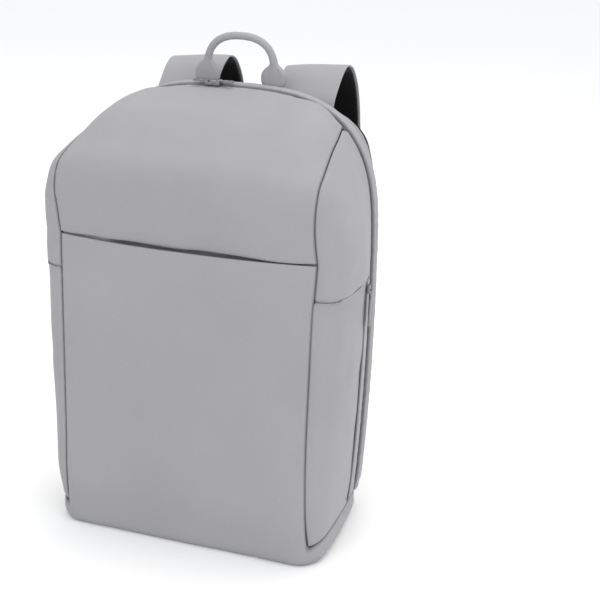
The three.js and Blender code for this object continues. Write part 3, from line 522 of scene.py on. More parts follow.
# The upper front and top panel is crowned by the filling, and runs down behind the pocket as the
# pocket's back wall. It is sewn to the side panels along the front seams and to the zip arch.
SLIP_FLOOR = 0.034
SLIP_ROOM = 0.007
CROWN_RISE = 0.030
HIDDEN_SHARE = 7 / 25  # share of the panel's rows that is behind the pocket
STEP_SHARE = 1 / 25
HIDDEN_INSET = 0.0036
VISIBLE_START = 0.014
SEWN_FROM = -0.60  # the mouth's end at the bag's left is sewn shut up to here
SEWN_TO = -0.54
SHOULDER_PUFF = 0.011
SHOULDER_REACH = 0.26
SHOULDER_OUT = 0.8  # share of the half width where a shoulder swells most
SHOULDER_UP = 0.8  # share of the visible height where it does
CROWN = {
    "along": (0.0, 0.145, 0.245, 0.365, 0.505, 0.665, 0.855, 1.0),
    "forward": (0.29, 0.27, 0.27, 0.26, 0.2, 0.12, 0.05, 0.03),
    "lift": (0.0, 0.0, 0.05, 0.25, 0.48, 0.7, 0.9, 1.0),
}


def arch_height(x):
    rise = (1 - (np.abs(x) / ARCH_HALF) ** ARCH_POWER) ** (1 / ARCH_POWER)
    return ARCH_SPRING + (ARCH_TOP - ARCH_SPRING) * rise


def hidden_cloth(across, up):
    z = mix(SLIP_FLOOR, POCKET_TOP + 0.001, up)
    level = np.clip((z - CORNER_HEIGHT) / (POCKET_TOP - CORNER_HEIGHT), 0, 1)
    seam = seam_point(level * MOUTH_SHARE)
    edge_back = seam[..., 1] + WALL + 0.0009
    sewn = 0.92 * smooth(0.8, 1, up) * smooth(SEWN_TO, SEWN_FROM, across)
    bulge = MOUTH_BULGE * read(BULGE, "bulge", level) * (1 - np.abs(across) ** 2.4)
    room = SLIP_ROOM * (1 - across ** 4) * (1 - sewn)
    inset = HIDDEN_INSET * (1 - smooth(0.985, 1, up))
    return points(across * (seam[..., 0] - inset), edge_back - bulge + room, z)


def visible_cloth(across, t):
    along = mix(VISIBLE_START, 1, t)
    seam = seam_point(MOUTH_SHARE + (1 - MOUTH_SHARE) * along)
    shape = (arch_height(across * junction[0]) - junction[2]) / (ARCH_TOP - junction[2])
    y = seam[..., 1] - CROWN_RISE * read(CROWN, "forward", along) * shape
    return points(across * seam[..., 0], y, seam[..., 2] + CROWN_RISE * read(CROWN, "lift", along) * shape)


def visible_share(v):
    """How far up its visible part a row of the panel is."""
    return np.clip((v - HIDDEN_SHARE - STEP_SHARE) / (1 - HIDDEN_SHARE - STEP_SHARE), 0, 1)


def top_cloth(u, v):
    """The panel from the bottom of the pocket (v = 0) to the zip arch, and from -X to +X."""
    u, v = np.broadcast_arrays(np.asarray(u, float), np.asarray(v, float))
    across = 2 * u - 1
    low = hidden_cloth(across, np.clip(v / HIDDEN_SHARE, 0, 1))
    high = visible_cloth(across, visible_share(v))
    return mix(low, high, np.clip((v - HIDDEN_SHARE) / STEP_SHARE, 0, 1)[..., None])


def shoulder_puff(u, v):
    """How far the filling swells the panel's two upper shoulders, over the seam and the zip."""
    across = np.abs(2 * u - 1)
    t = visible_share(v)
    swell = np.exp(-((across - SHOULDER_OUT) / SHOULDER_REACH) ** 2 - ((t - SHOULDER_UP) / SHOULDER_REACH) ** 2)
    return SHOULDER_PUFF * swell * (1 - across ** 16) * (1 - smooth(0.94, 1, t))


top = cloth_shell("upper_front_and_top", top_cloth, step=0.0045, rolls=(1, 1, 0, 0.5), dents=0.0009,
                  seed=23, extra=shoulder_puff)
top.data.materials.append(cloth_grey)
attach(top, "bag")
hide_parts("upper_front_panel")

# The side panels swell with the filling, and step in behind the side pockets. Each pocket is a
# second layer of the same cloth, sewn in at both seams and at the base, with a level hem.
POCKET_WALL = 0.0016
POCKET_ROOM = 0.0056
TUCK = 0.0022  # height over which a panel steps in behind a pocket's hem
GAP = 0.0003
PANEL_END = 0.985  # a panel ends just short of the junction, where its two seams meet


def panel_behind(u, v):
    point = side_face(u, v)
    behind = 1 - smooth(SIDE_POCKET_TOP - 0.0005, SIDE_POCKET_TOP + TUCK, point[..., 2])
    open_share = mix(0.04, 1, smooth(SIDE_POCKET_TOP, SIDE_POCKET_TOP - 0.07, point[..., 2]))
    room = POCKET_WALL + 2 * GAP + POCKET_ROOM * open_share * np.sin(math.pi * np.clip(u, 0, 1)) ** 0.6
    return point - normal_of(side_face, u, v) * (room * behind)[..., None]


def side_panel(u, v):
    return panel_behind(u, np.asarray(v, float) * PANEL_END)


seam_heights = seam_point(np.linspace(0, MOUTH_SHARE, 400))[:, 2]


def side_share_at(z):
    """The share of the side's height where its seam is at height z, below the mouth."""
    return float(np.interp(z, seam_heights, np.linspace(0, MOUTH_SHARE, 400)))


hem_share = side_share_at(SIDE_POCKET_TOP)


def side_layer(u, v):
    """A pocket's outer face, from the base to its level hem."""
    point = side_face(u, mix(0.003, 1, np.asarray(v, float)) * hem_share)
    point[..., 2] = mix(point[..., 2], SIDE_POCKET_TOP, smooth(0.7, 1, v))
    return point


def other_side(piece, name):
    """The same piece on the bag's other side."""
    mesh = piece.data.copy()
    twin = bpy.data.objects.new(name, mesh)
    bpy.context.scene.collection.objects.link(twin)
    flip = Matrix.Diagonal((-1, 1, 1, 1))
    move = Matrix.Translation(Vector(SHIFT))
    mesh.transform(move @ flip @ move.inverted())
    mesh.flip_normals()
    return twin


for name, face, cad, wall, rolls, seed in (
    ("side_cloth", side_panel, "side_panel", WALL, (1, 0.6, 0, 0.6), 37),
    ("side_pocket_cloth", side_layer, "side_pocket", POCKET_WALL, (1, 0.6, 0.6, 0), 41),
):
    right = cloth_shell(f"{name}_right", face, wall=wall, rolls=rolls, dents=0.0005, seed=seed)
    right.data.materials.append(cloth_grey)
    left = other_side(right, f"{name}_left")
    for piece, side in ((right, "right"), (left, "left")):
        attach(piece, "bag")
        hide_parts(f"{cad}_{side}")

# The zip runs in a narrow groove round the whole arch, from the base over the top to the base. Its
# tape is woven and its teeth are one moulded coil's loops. A padded band of the bag's cloth stands
# proud behind it, and a strip of cloth with squarer corners joins the band to the back.
GROOVE = 0.0024
BAND_WIDTH = 0.012
BAND_RISE = 0.0032
TAPE_DROP = 0.0016
TAPE_THICK = 0.0012
TOOTH_PITCH = 0.0014
BAND_START = GROOVE + 2 * GAP
BAND_END = BAND_START + BAND_WIDTH
arch_start = 1 - GAP / (2 * zip_arch.length)


def arch_station(q):
    """The arch from foot (q = 1) over the crown (q = 0) to the other foot: a point and the way out."""
    q = np.asarray(q, float)
    share = np.clip(1 - np.abs(q), 0, 1)
    side = np.where(q < 0, -1, 1)
    x, z = zip_arch.at(share)
    out_x, out_z = zip_arch.out(share)
    crown = smooth(0, 0.02, np.abs(q))
    way = points(side * out_x * crown, 0, mix(1, out_z, crown))
    return points(side * x, depth_of(z), z), way / np.linalg.norm(way, axis=-1, keepdims=True)


def loft_mesh(name, rings):
    """A closed mesh through rings of points, with its ends capped and a UV map round and along it."""
    rings = np.asarray(rings)
    steps, sides = rings.shape[:2]
    at = np.arange(steps * sides).reshape(steps, sides)
    following = np.roll(at, -1, axis=1)
    faces = np.stack([at[:-1], following[:-1], following[1:], at[1:]], axis=-1).reshape(-1, 4).tolist()
    faces += [at[0].tolist(), at[-1].tolist()]
    mesh = bpy.data.meshes.new(name)
    mesh.from_pydata((rings.reshape(-1, 3) + SHIFT).tolist(), [], faces)
    around = np.linalg.norm(np.roll(rings[steps // 2], -1, axis=0) - rings[steps // 2], axis=-1)
    around = np.concatenate([[0], np.cumsum(around)])[:-1]
    middles = rings.mean(axis=1)
    along = np.concatenate([[0], np.cumsum(np.linalg.norm(np.diff(middles, axis=0), axis=-1))])
    lay_flat(mesh, np.stack(np.broadcast_arrays(around[None, :], along[:, None]), axis=-1).reshape(-1, 2))
    return finished(name, mesh)


def arch_sweep(name, section, steps, waver=None):
    """A section of (rise, depth) points swept round the arch."""
    q = arch_start * (1 - 2 * np.linspace(0, 1, steps + 1))
    at, way = arch_station(q)
    rise = np.array([row[0] for row in section])
    depth = np.array([row[1] for row in section])
    rise = np.broadcast_to(rise, (steps + 1, len(section))).copy()
    if waver is not None:
        rise = waver(rise, np.broadcast_to(depth, rise.shape), q * zip_arch.length)
    rings = at[:, None] + way[:, None] * rise[..., None]
    rings[..., 1] += depth
    return loft_mesh(name, rings)


def tape_material():
    """Twill-woven zip tape."""
    material, tree = blank_material("zip_tape")
    grain = noise(tree, 1200.0, 3.0)
    ribs = bands(tree, flat_place(tree), "DIAGONAL", 0.0007)
    colour = blend_colour(tree, ribs, (0.12, 0.12, 0.125, 1), (0.2, 0.2, 0.205, 1))
    height = maths(tree, "ADD", ribs, maths(tree, "MULTIPLY", grain, 0.5))
    finish_shader(tree, colour, 0.85, height, 0.00012, Sheen_Weight=0.2, Specular_IOR_Level=0.2)
    return material


def nylon_material():
    """The teeth's moulded nylon."""
    material, tree = blank_material("zip_teeth")
    grain = noise(tree, 700.0, 2.0)
    colour = blend_colour(tree, grain, (0.17, 0.17, 0.175, 1), (0.26, 0.26, 0.265, 1))
    roughness = maths(tree, "ADD", maths(tree, "MULTIPLY", grain, 0.2), 0.3)
    finish_shader(tree, colour, roughness, grain, 0.00003, Specular_IOR_Level=0.5)
    return material


tape = tape_material()
nylon = nylon_material()


def join_pieces(name, pieces):
    """Several mesh objects made one, with their materials kept."""
    work = bmesh.new()
    materials = []
    for piece in pieces:
        start = len(work.faces)
        work.from_mesh(piece.data)
        work.faces.ensure_lookup_table()
        for face in work.faces[start:]:
            face.material_index += len(materials)
        materials += list(piece.data.materials)
        bpy.data.objects.remove(piece)
    mesh = bpy.data.meshes.new(name)
    work.to_mesh(mesh)
    work.free()
    for material in materials:
        mesh.materials.append(material)
    whole = bpy.data.objects.new(name, mesh)
    bpy.context.scene.collection.objects.link(whole)
    return whole


def zip_teeth(name, path, ways, pitch, long, wide, tall):
    """A row of zip teeth along a path, by Geometry Nodes: ways point out of the zip at each point."""
    mesh = bpy.data.meshes.new(name)
    mesh.from_pydata((path + SHIFT).tolist(), [(i, i + 1) for i in range(len(path) - 1)], [])
    way = mesh.attributes.new("way_out", "FLOAT_VECTOR", "POINT")
    way.data.foreach_set("vector", ways.astype(np.float32).ravel())
    line = bpy.data.objects.new(name, mesh)
    bpy.context.scene.collection.objects.link(line)
    tree = bpy.data.node_groups.new(name, "GeometryNodeTree")
    tree.interface.new_socket("Geometry", in_out="INPUT", socket_type="NodeSocketGeometry")
    for label, value in (("Pitch", pitch), ("Long", long), ("Wide", wide), ("Tall", tall)):
        socket = tree.interface.new_socket(label, in_out="INPUT", socket_type="NodeSocketFloat")
        socket.default_value = value
    tree.interface.new_socket("Geometry", in_out="OUTPUT", socket_type="NodeSocketGeometry")
    inputs = tree.nodes.new("NodeGroupInput")
    output = tree.nodes.new("NodeGroupOutput")
    curve = tree.nodes.new("GeometryNodeMeshToCurve")
    resample = tree.nodes.new("GeometryNodeResampleCurve")
    resample.mode = "LENGTH"
    instance = tree.nodes.new("GeometryNodeInstanceOnPoints")
    cube = tree.nodes.new("GeometryNodeMeshCube")
    size = tree.nodes.new("ShaderNodeCombineXYZ")
    round_off = tree.nodes.new("GeometryNodeSubdivisionSurface")
    tangent = tree.nodes.new("GeometryNodeInputTangent")
    attribute = tree.nodes.new("GeometryNodeInputNamedAttribute")
    attribute.data_type = "FLOAT_VECTOR"
    attribute.inputs["Name"].default_value = "way_out"
    align_x = tree.nodes.new("FunctionNodeAlignRotationToVector")
    align_x.axis = "X"
    align_z = tree.nodes.new("FunctionNodeAlignRotationToVector")
    align_z.axis = "Z"
    align_z.pivot_axis = "X"
    realize = tree.nodes.new("GeometryNodeRealizeInstances")
    paint = tree.nodes.new("GeometryNodeSetMaterial")
    paint.inputs["Material"].default_value = nylon
    link = tree.links.new
    link(inputs.outputs["Geometry"], curve.inputs[0])
    link(curve.outputs[0], resample.inputs["Curve"])
    link(inputs.outputs["Pitch"], resample.inputs["Length"])
    link(inputs.outputs["Long"], size.inputs[0])
    link(inputs.outputs["Wide"], size.inputs[1])
    link(inputs.outputs["Tall"], size.inputs[2])
    link(size.outputs[0], cube.inputs["Size"])
    link(cube.outputs["Mesh"], round_off.inputs["Mesh"])
    round_off.inputs["Level"].default_value = 1
    link(resample.outputs[0], instance.inputs["Points"])
    link(round_off.outputs[0], instance.inputs["Instance"])
    link(tangent.outputs[0], align_x.inputs["Vector"])
    link(attribute.outputs[0], align_z.inputs["Vector"])
    link(align_x.outputs[0], align_z.inputs["Rotation"])
    link(align_z.outputs[0], instance.inputs["Rotation"])
    link(instance.outputs[0], realize.inputs[0])
    link(realize.outputs[0], paint.inputs["Geometry"])
    link(paint.outputs[0], output.inputs[0])
    modifier = line.modifiers.new("teeth", "NODES")
    modifier.node_group = tree
    return baked(line, name)


def baked(piece, name):
    """The piece as its modifiers leave it, as a plain mesh with none."""
    bpy.context.view_layer.update()
    graph = bpy.context.evaluated_depsgraph_get()
    mesh = bpy.data.meshes.new_from_object(piece.evaluated_get(graph))
    made = bpy.data.objects.new(name, mesh)
    bpy.context.scene.collection.objects.link(made)
    bpy.data.objects.remove(piece)
    made.name = name
    return made


tape_section = [(-TAPE_DROP, GAP), (-TAPE_DROP, GROOVE + GAP), (-TAPE_DROP - TAPE_THICK, GROOVE + GAP),
                (-TAPE_DROP - TAPE_THICK, GAP)]
arch_tape = arch_sweep("arch_zip_tape", tape_section, 400)
arch_tape.data.materials.append(tape)
q_line = arch_start * (1 - 2 * np.linspace(0, 1, 900))
zip_line, zip_way = arch_station(q_line)
zip_line = zip_line + zip_way * (-TAPE_DROP + 0.0002)
zip_line[:, 1] += GAP + GROOVE / 2
arch_teeth = zip_teeth("arch_zip_teeth", zip_line, zip_way, TOOTH_PITCH, 0.0011, 0.0019, 0.0013)
arch_zip = join_pieces("arch_zip", [arch_tape, arch_teeth])
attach(arch_zip, "bag")
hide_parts("main_zip")


FOOT_TAPER = 0.02  # how far from its feet the band has its full rise
FOOT_RISE = 0.25  # the share of that rise at its feet
BAND_GATHER = 0.00016
BAND_SWELL = 0.00025


def padded_waver(rise, depth, run):
    """The band's filling: it swells in its middle, is gathered along both seams and is thin at its feet."""
    middle = np.clip(1 - np.abs(2 * (depth - BAND_START) / BAND_WIDTH - 1), 0, 1)
    gather = np.sin(run * 2 * math.pi / 0.012 + 1.4 * np.sin(run * 2 * math.pi / 0.039))[:, None]
    swell = np.sin(run * 2 * math.pi / 0.075)[:, None]
    upper = rise > 0
    foot = smooth(0, FOOT_TAPER, zip_arch.length - np.abs(run))[:, None]
    rise = np.where(upper, rise * mix(FOOT_RISE, 1, foot), rise)
    return rise + upper * (BAND_GATHER * gather * (1 - middle) + BAND_SWELL * swell * middle)


band_turn = np.linspace(0, math.pi, 15)
band_section = [(BAND_RISE * (0.45 + 0.55 * math.sin(a) ** 0.6),
                 BAND_START + BAND_WIDTH / 2 * (1 - math.cos(a))) for a in band_turn]
band_section += [(-WALL, BAND_END), (-WALL, BAND_START)]
band = arch_sweep("arch_band", band_section, 560, padded_waver)
band.data.materials.append(cloth_grey)
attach(band, "bag")
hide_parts("zip_band")


def gusset_face(u, v):
    u, v = np.broadcast_arrays(np.asarray(u, float), np.asarray(v, float))
    q = (1 - 2 * v) * arch_start
    at, _ = arch_station(q)
    x, z = back_arch.at(np.clip(1 - np.abs(q), 0, 1))
    rear = points(np.where(q < 0, -1, 1) * x, back_of(z), z)
    at[..., 1] += BAND_END + GAP
    return mix(at, rear, u[..., None])


# a darker, rougher copy of the bag's cloth, whose darkness is painted shade on the rear strip
painted_shade_cloth = coated_cloth("coated_cloth_painted_shade", light=(0.280, 0.278, 0.290, 1),
                           dark=(0.255, 0.253, 0.264, 1), rough=0.68)
gusset = cloth_shell("rear_gusset_cloth", gusset_face, step=0.003, rolls=(0.4, 0.7, 0, 0), seed=53)
gusset.data.materials.append(painted_shade_cloth)
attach(gusset, "bag")
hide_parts("rear_gusset")

# The back panel is foam under black open mesh, quilted into two columns of pads with air channels
# between them. Its edge is sewn to the rear strip of cloth.
PAD_RISE = 0.006
TAB_OUT = 0.112  # from the middle to each foot tab
TAB_UP = 0.050
TAB_TALL = 0.022
PAD_EDGE = 0.008
BACK_TURN = math.radians(52)
back_corner_z = ARCH_SPRING + (BACK_TOP - ARCH_SPRING) * math.sin(BACK_TURN) ** (2 / BACK_POWER)
back_corner_share = back_arch.share_at_height(back_corner_z)
back_corner_x = float(back_arch.at(back_corner_share)[0])


def back_face(u, v):
    """The back panel's outer face, from its foot to its top, and from +X to -X."""
    u, v = np.broadcast_arrays(np.asarray(u, float), np.asarray(v, float))
    across = 1 - 2 * u
    edge_x, edge_z = back_arch.at(v * back_corner_share)
    x = np.abs(across) * back_corner_x
    top = ARCH_SPRING + (BACK_TOP - ARCH_SPRING) * (1 - (x / BACK_HALF) ** BACK_POWER) ** (1 / BACK_POWER)
    z = edge_z + (top - back_corner_z) * v ** 2
    pillow = ((1 - across ** 4) * (1 - (2 * v - 1) ** 6)).clip(0) ** 0.7
    return points(across * edge_x, back_of(z) + GAP + PAD_EDGE + PAD_RISE * pillow, z)


HOLE_STEP = 0.0021  # from one hole of the mesh to the next


def mesh_fabric(name):
    """Black open spacer mesh: round holes in rows set half a step apart, painted near black for the dark foam under
    them and for the shade that falls into them.
    """
    material, tree = blank_material(name)
    holes = node(tree, "ShaderNodeTexVoronoi", Vector=flat_place(tree), Scale=1 / HOLE_STEP, Randomness=0.12)
    open_share = grade(tree, holes.outputs["Distance"], 0.22, 0.42)
    grain = noise(tree, 1400.0, 3.0)
    drift = noise(tree, 12.0, 2.0)
    yarn = blend_colour(tree, drift, (0.005, 0.005, 0.0055, 1), (0.009, 0.009, 0.010, 1))
    # the holes' near-black is partly the dark foam below and partly painted shade in them
    colour = blend_colour(tree, open_share, (0.002, 0.002, 0.002, 1), yarn)
    height = maths(tree, "ADD", open_share, maths(tree, "MULTIPLY", grain, 0.25))
    finish_shader(tree, colour, 0.9, height, 0.0004, Sheen_Weight=0.04, Sheen_Roughness=0.5,
                  Specular_IOR_Level=0.12)
    return material


black_mesh = mesh_fabric("black_mesh")
CHANNEL = 0.009  # half the width of an air channel
PAD_ROWS = (0.3, 0.62)  # shares of the height where one pad ends and the next starts
PAD_STEP = 0.005
PAD_LIMIT = 0.004  # the farthest that the cloth simulation may move a point
PAD_PUFF = 0.003


def quilting(u, v, wide, tall):
    """How far the quilted foam sinks in its channels and at its edge."""
    to_middle = np.abs(u - 0.5) * wide
    sink = 0.0042 * (1 - smooth(CHANNEL * 0.4, CHANNEL * 1.7, to_middle))
    for row in PAD_ROWS:
        sink = np.maximum(sink, 0.0036 * (1 - smooth(0.002, 0.010, np.abs(v - row) * tall)))
    to_edge = np.minimum.reduce((u * wide, (1 - u) * wide, v * tall, (1 - v) * tall))
    return -np.maximum(sink, 0.003 * (1 - smooth(0.004, 0.016, to_edge)))


def vertices_of(mesh):
    """A mesh's vertices as rows of an array."""
    at = np.zeros(len(mesh.vertices) * 3)
    mesh.vertices.foreach_get("co", at)
    return at.reshape(-1, 3)


def swollen(pad, limit, pressure=4.0, frames=20, voxel=0.006):
    """How far a cloth under pressure lifts a pad, at each of the pad's own points."""
    start = vertices_of(pad.data)
    test = pad.copy()
    test.data = pad.data.copy()
    bpy.context.scene.collection.objects.link(test)
    remesh = test.modifiers.new("voxels", "REMESH")
    remesh.mode = "VOXEL"
    remesh.voxel_size = voxel
    test = baked(test, "pad_test")
    rest = vertices_of(test.data)
    cloth = test.modifiers.new("cloth", "CLOTH")
    cloth.settings.use_pressure = True
    cloth.settings.uniform_pressure_force = pressure
    cloth.settings.effector_weights.gravity = 0
    cloth.settings.quality = 5
    scene = bpy.context.scene
    for step in range(1, frames + 1):
        scene.frame_set(step)
    graph = bpy.context.evaluated_depsgraph_get()
    shift = vertices_of(bpy.data.meshes.new_from_object(test.evaluated_get(graph))) - rest
    scene.frame_set(1)
    far = np.linalg.norm(shift, axis=1, keepdims=True)
    shift *= np.minimum(1, limit / np.maximum(far, 1e-9))
    tree = KDTree(len(rest))
    for i, point in enumerate(rest):
        tree.insert(point, i)
    tree.balance()
    lift = np.zeros_like(start)
    for i, point in enumerate(start):
        found = tree.find_n(point, 4)
        weights = np.array([1 / (d + 1e-4) for _, _, d in found])
        lift[i] = (shift[[k for _, k, _ in found]] * weights[:, None]).sum(axis=0) / weights.sum()
    bpy.data.objects.remove(test)
    return lift


pad_wide, pad_tall = face_lengths(back_face)
pad_u, pad_v = np.meshgrid(shares(pad_wide, PAD_STEP), shares(pad_tall, PAD_STEP))
outer = back_face(pad_u, pad_v)
normal = normal_of(back_face, pad_u, pad_v)
inner = outer - normal * PAD_EDGE
pad_flat = (pad_u * pad_wide, pad_v * pad_tall, np.zeros_like(pad_u))
pad = shell_mesh("back_pad", outer, inner, *pad_flat)
lift = swollen(pad, PAD_LIMIT)[:pad_u.size].reshape(outer.shape)
bpy.data.objects.remove(pad)
rise = (lift * normal).sum(axis=-1)
to_edge = (pad_u * pad_wide, (1 - pad_u) * pad_wide, pad_v * pad_tall, (1 - pad_v) * pad_tall)
free = smooth(0, 0.02, np.minimum.reduce(to_edge))
to_tab = np.hypot(np.abs(outer[..., 0]) - TAB_OUT, outer[..., 2] - TAB_UP + TAB_TALL / 2)
under_tab = 1 - smooth(0.018, 0.036, to_tab)  # the foot tabs hold the foam down
puff = np.clip(rise, 0, PAD_PUFF) * free + 0.0005 * wander(outer, 0.03, 61)
quilted = outer + normal * (puff * (1 - under_tab) - 0.0012 * under_tab
                            + quilting(pad_u, pad_v, pad_wide, pad_tall))[..., None]
back = shell_mesh("back_pad", quilted, inner, *pad_flat)
back.data.materials.append(black_mesh)
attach(back, "bag")
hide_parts("back_panel")

# The grab handle is a cord rolled in the bag's cloth, gathered into two flat ends that are sewn into
# the seam behind the band.
HANDLE_HALF = 0.036
HANDLE_TOP = 0.502
PADDLE_WIDTH = 0.027
PADDLE_THICK = 0.0075
PADDLE_TALL = 0.024
TUBE_RADIUS = 0.0038
HANDLE_SMALL = 0.006  # the share of its line that its direction is read over
RUCK = 0.00038
CREASE = 0.00008
CREASE_STEP = 0.009
BOW_POWER = 2.4
HANDLE_ENDS = {
    "along": (0.0, 0.04, 0.12, 0.3, 0.55, 0.78, 0.92, 1.0),
    "wide": (0.34, 0.4, 0.46, 0.5, 0.47, 0.33, 0.18, 0.14),
    "thick": (0.75, 0.95, 1.0, 1.0, 1.0, 1.0, 1.0, 1.0),
}
handle_low, handle_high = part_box("carry_handle")
handle_depth = (handle_low[1] + handle_high[1]) / 2 - SHIFT[1]
handle_foot = float(arch_height(HANDLE_HALF)) + GAP
bow_foot = handle_foot + PADDLE_TALL * 0.7
bow_rise = HANDLE_TOP - TUBE_RADIUS - bow_foot
bow = np.linspace(0, math.pi, 200)
bow_x = HANDLE_HALF * np.sign(np.cos(bow)) * np.abs(np.cos(bow)) ** (2 / BOW_POWER)
bow_z = bow_foot + bow_rise * np.sin(bow).clip(0) ** (2 / BOW_POWER)
handle_line = np.concatenate([[[HANDLE_HALF, handle_foot]], np.stack([bow_x, bow_z], axis=1),
                              [[-HANDLE_HALF, handle_foot]]])
handle_length = np.linalg.norm(np.diff(handle_line, axis=0), axis=1).sum()


def handle_rings(steps=240, sides=40):
    share = np.linspace(0, 1, steps)
    at = along_line(handle_line, share)
    after = along_line(handle_line, np.clip(share + HANDLE_SMALL, 0, 1))
    ahead = after - along_line(handle_line, np.clip(share - HANDLE_SMALL, 0, 1))
    ahead /= np.linalg.norm(ahead, axis=1, keepdims=True)
    from_end = np.minimum(share, 1 - share) * handle_length
    end = np.clip(from_end / PADDLE_TALL, 0, 1)
    paddle = np.maximum(TUBE_RADIUS, PADDLE_WIDTH * read(HANDLE_ENDS, "wide", end))
    wide = np.where(end < 1, paddle, TUBE_RADIUS)
    thick = mix(PADDLE_THICK / 2, TUBE_RADIUS, end) * read(HANDLE_ENDS, "thick", end)
    angle = np.linspace(0, 2 * math.pi, sides, endpoint=False)
    flatness = mix(0.72, 1.0, smooth(0.5, 1, end))[:, None]
    cos = np.sign(np.cos(angle)) * np.abs(np.cos(angle)) ** flatness
    sin = np.sign(np.sin(angle)) * np.abs(np.sin(angle)) ** flatness
    # the gathers run from the paddle's neck towards its foot, and fade out on it
    gather = smooth(0.1, 0.75, end) * (1 - smooth(0.95, 1.35, from_end / PADDLE_TALL))
    ruck = RUCK * gather[:, None] * np.cos(9 * angle + 0.8)
    on_tube = smooth(1.1, 1.5, from_end / PADDLE_TALL)
    crease = (CREASE * on_tube * np.sin(from_end * 2 * math.pi / CREASE_STEP))[:, None]
    reach_x = (wide[:, None] + ruck + crease) * cos
    reach_y = (thick[:, None] + ruck + crease) * sin
    across_x, across_z = ahead[:, 1], -ahead[:, 0]
    return points(at[:, :1] + across_x[:, None] * reach_x, handle_depth + reach_y,
                  at[:, 1:] + across_z[:, None] * reach_x)


handle = loft_mesh("grab_handle", handle_rings())
handle.data.materials.append(cloth_grey)
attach(handle, "bag")
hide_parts("carry_handle")

# Each shoulder strap is the bag's cloth over a pad of black open mesh, sewn under the top of the back
# panel. It arches up and back, and hangs to a ladder buckle, from which webbing runs to a tab that is
# sewn in at the foot of the back panel.
STRAP_HALF = 0.065
STRAP_SPREAD = 0.034
STRAP_WIDTH = 0.068
STRAP_THIN = 0.0022
LINING_THICK = 0.005
STRAP_RISE = 0.030
STRAP_REACH = 0.088
STRAP_DROP = 0.290
ROOT_LIFT = 0.0034
STRAP_LENGTH = 0.48
STRAP_DENT = 0.00024
STRAP_LINE = {
    "back": (0.0, 0.13, 0.27, 0.44, 0.62, 0.78, 0.92, 1.0, 1.0, 0.96, 0.88, 0.77, 0.65),
    "rise": (0.0, 0.44, 0.8, 1.0, 0.86, 0.36, 0.0, 0.0, 0.0, 0.0, 0.0, 0.0, 0.0),
    "drop": (0.0, 0.0, 0.0, 0.0, 0.0, 0.0, 0.06, 0.17, 0.33, 0.5, 0.66, 0.83, 1.0),
}
STRAP_WIDTHS = {"along": (0.0, 0.25, 0.6, 0.9, 0.96, 1.0), "wide": (0.96, 1.0, 0.96, 0.86, 0.72, 0.5)}
root_back = back_of(BACK_TOP) + GAP + PAD_EDGE * 0.35
root_up = BACK_TOP + ROOT_LIFT


def through(knots, count=400):
    """A smooth curve through knots, as even points (centripetal Catmull-Rom)."""
    knots = np.asarray(knots, float)
    ends = np.concatenate([[2 * knots[0] - knots[1]], knots, [2 * knots[-1] - knots[-2]]])
    found = []
    for i in range(len(knots) - 1):
        p = ends[i:i + 4]
        t = np.concatenate([[0], np.cumsum(np.linalg.norm(np.diff(p, axis=0), axis=1) ** 0.5)])
        s = np.linspace(t[1], t[2], 40, endpoint=i == len(knots) - 2)[:, None]
        a = [((t[k + 1] - s) * p[k] + (s - t[k]) * p[k + 1]) / (t[k + 1] - t[k]) for k in range(3)]
        b = [((t[k + 2] - s) * a[k] + (s - t[k]) * a[k + 1]) / (t[k + 2] - t[k]) for k in range(2)]
        found.append(((t[2] - s) * b[0] + (s - t[1]) * b[1]) / (t[2] - t[1]))
    return along_line(np.concatenate(found), np.linspace(0, 1, count))


drop = np.array(STRAP_LINE["drop"])
knots = points(STRAP_HALF + STRAP_SPREAD * smooth(0.15, 1, drop),
               root_back + STRAP_REACH * np.array(STRAP_LINE["back"]),
               root_up + STRAP_RISE * np.array(STRAP_LINE["rise"]) - STRAP_DROP * drop)
sewn_in = knots[0] + np.array([0, -0.0035, -0.009])  # the root's end, sewn in between strip and panel
strap_line = through(np.concatenate([[sewn_in], knots]))


def ribbon_frames(line, share, small=0.004):
    """A flat band's middle, and the ways across it and out of it, at shares of its line."""
    ahead = along_line(line, np.clip(share + small, 0, 1)) - along_line(line, np.clip(share - small, 0, 1))
    ahead /= np.linalg.norm(ahead, axis=1, keepdims=True)
    across = np.array([1.0, 0, 0]) - ahead * ahead[:, :1]
    across /= np.linalg.norm(across, axis=1, keepdims=True)
    return along_line(line, share), across, np.cross(across, ahead), ahead


def strap_layer(name, top, bottom, narrower, first, last, crown, seed, step=0.0045):
    """One layer of a strap: crown is how far its outer face swells in the middle."""
    share = np.linspace(first, last, int(STRAP_LENGTH / step))
    at, across, out, _ = ribbon_frames(strap_line, share)
    half = STRAP_WIDTH / 2 * read(STRAP_WIDTHS, "wide", share) - narrower
    thick = top - bottom
    edge = half - thick / 2
    flat = np.linspace(-1, 1, 25)
    rim = [(thick / 2 * math.sin(a), (top + bottom - crown) / 2 + (thick - crown) / 2 * math.cos(a))
           for a in np.linspace(0, math.pi, 9)[1:-1]]
    rows = [(a * edge, top - crown + crown * (1 - a ** 4)) for a in flat]
    rows += [(edge + x, n) for x, n in rim]
    rows += [(a * edge, bottom) for a in flat[::-1]]
    rows += [(-(edge + x), n) for x, n in rim[::-1]]
    rings = np.stack([at + across * x[:, None] + out * n for x, n in rows], axis=1)
    rings += out[:, None] * (STRAP_DENT * wander(rings, 0.05, seed))[..., None]
    return loft_mesh(name, rings)


strap_ends = 1 / 22  # share of the strap at each end that the lining leaves free
strap = strap_layer("strap_cloth_right", 0.0, -STRAP_THIN, 0.0, 0.0, 1.0, 0.0006, 71)
strap.data.materials.append(cloth_grey)
liner = strap_layer("strap_pad_right", -STRAP_THIN - GAP, -STRAP_THIN - GAP - LINING_THICK, 0.0015,
                    strap_ends, 1 - strap_ends, 0.0004, 73)
liner.data.materials.append(black_mesh)


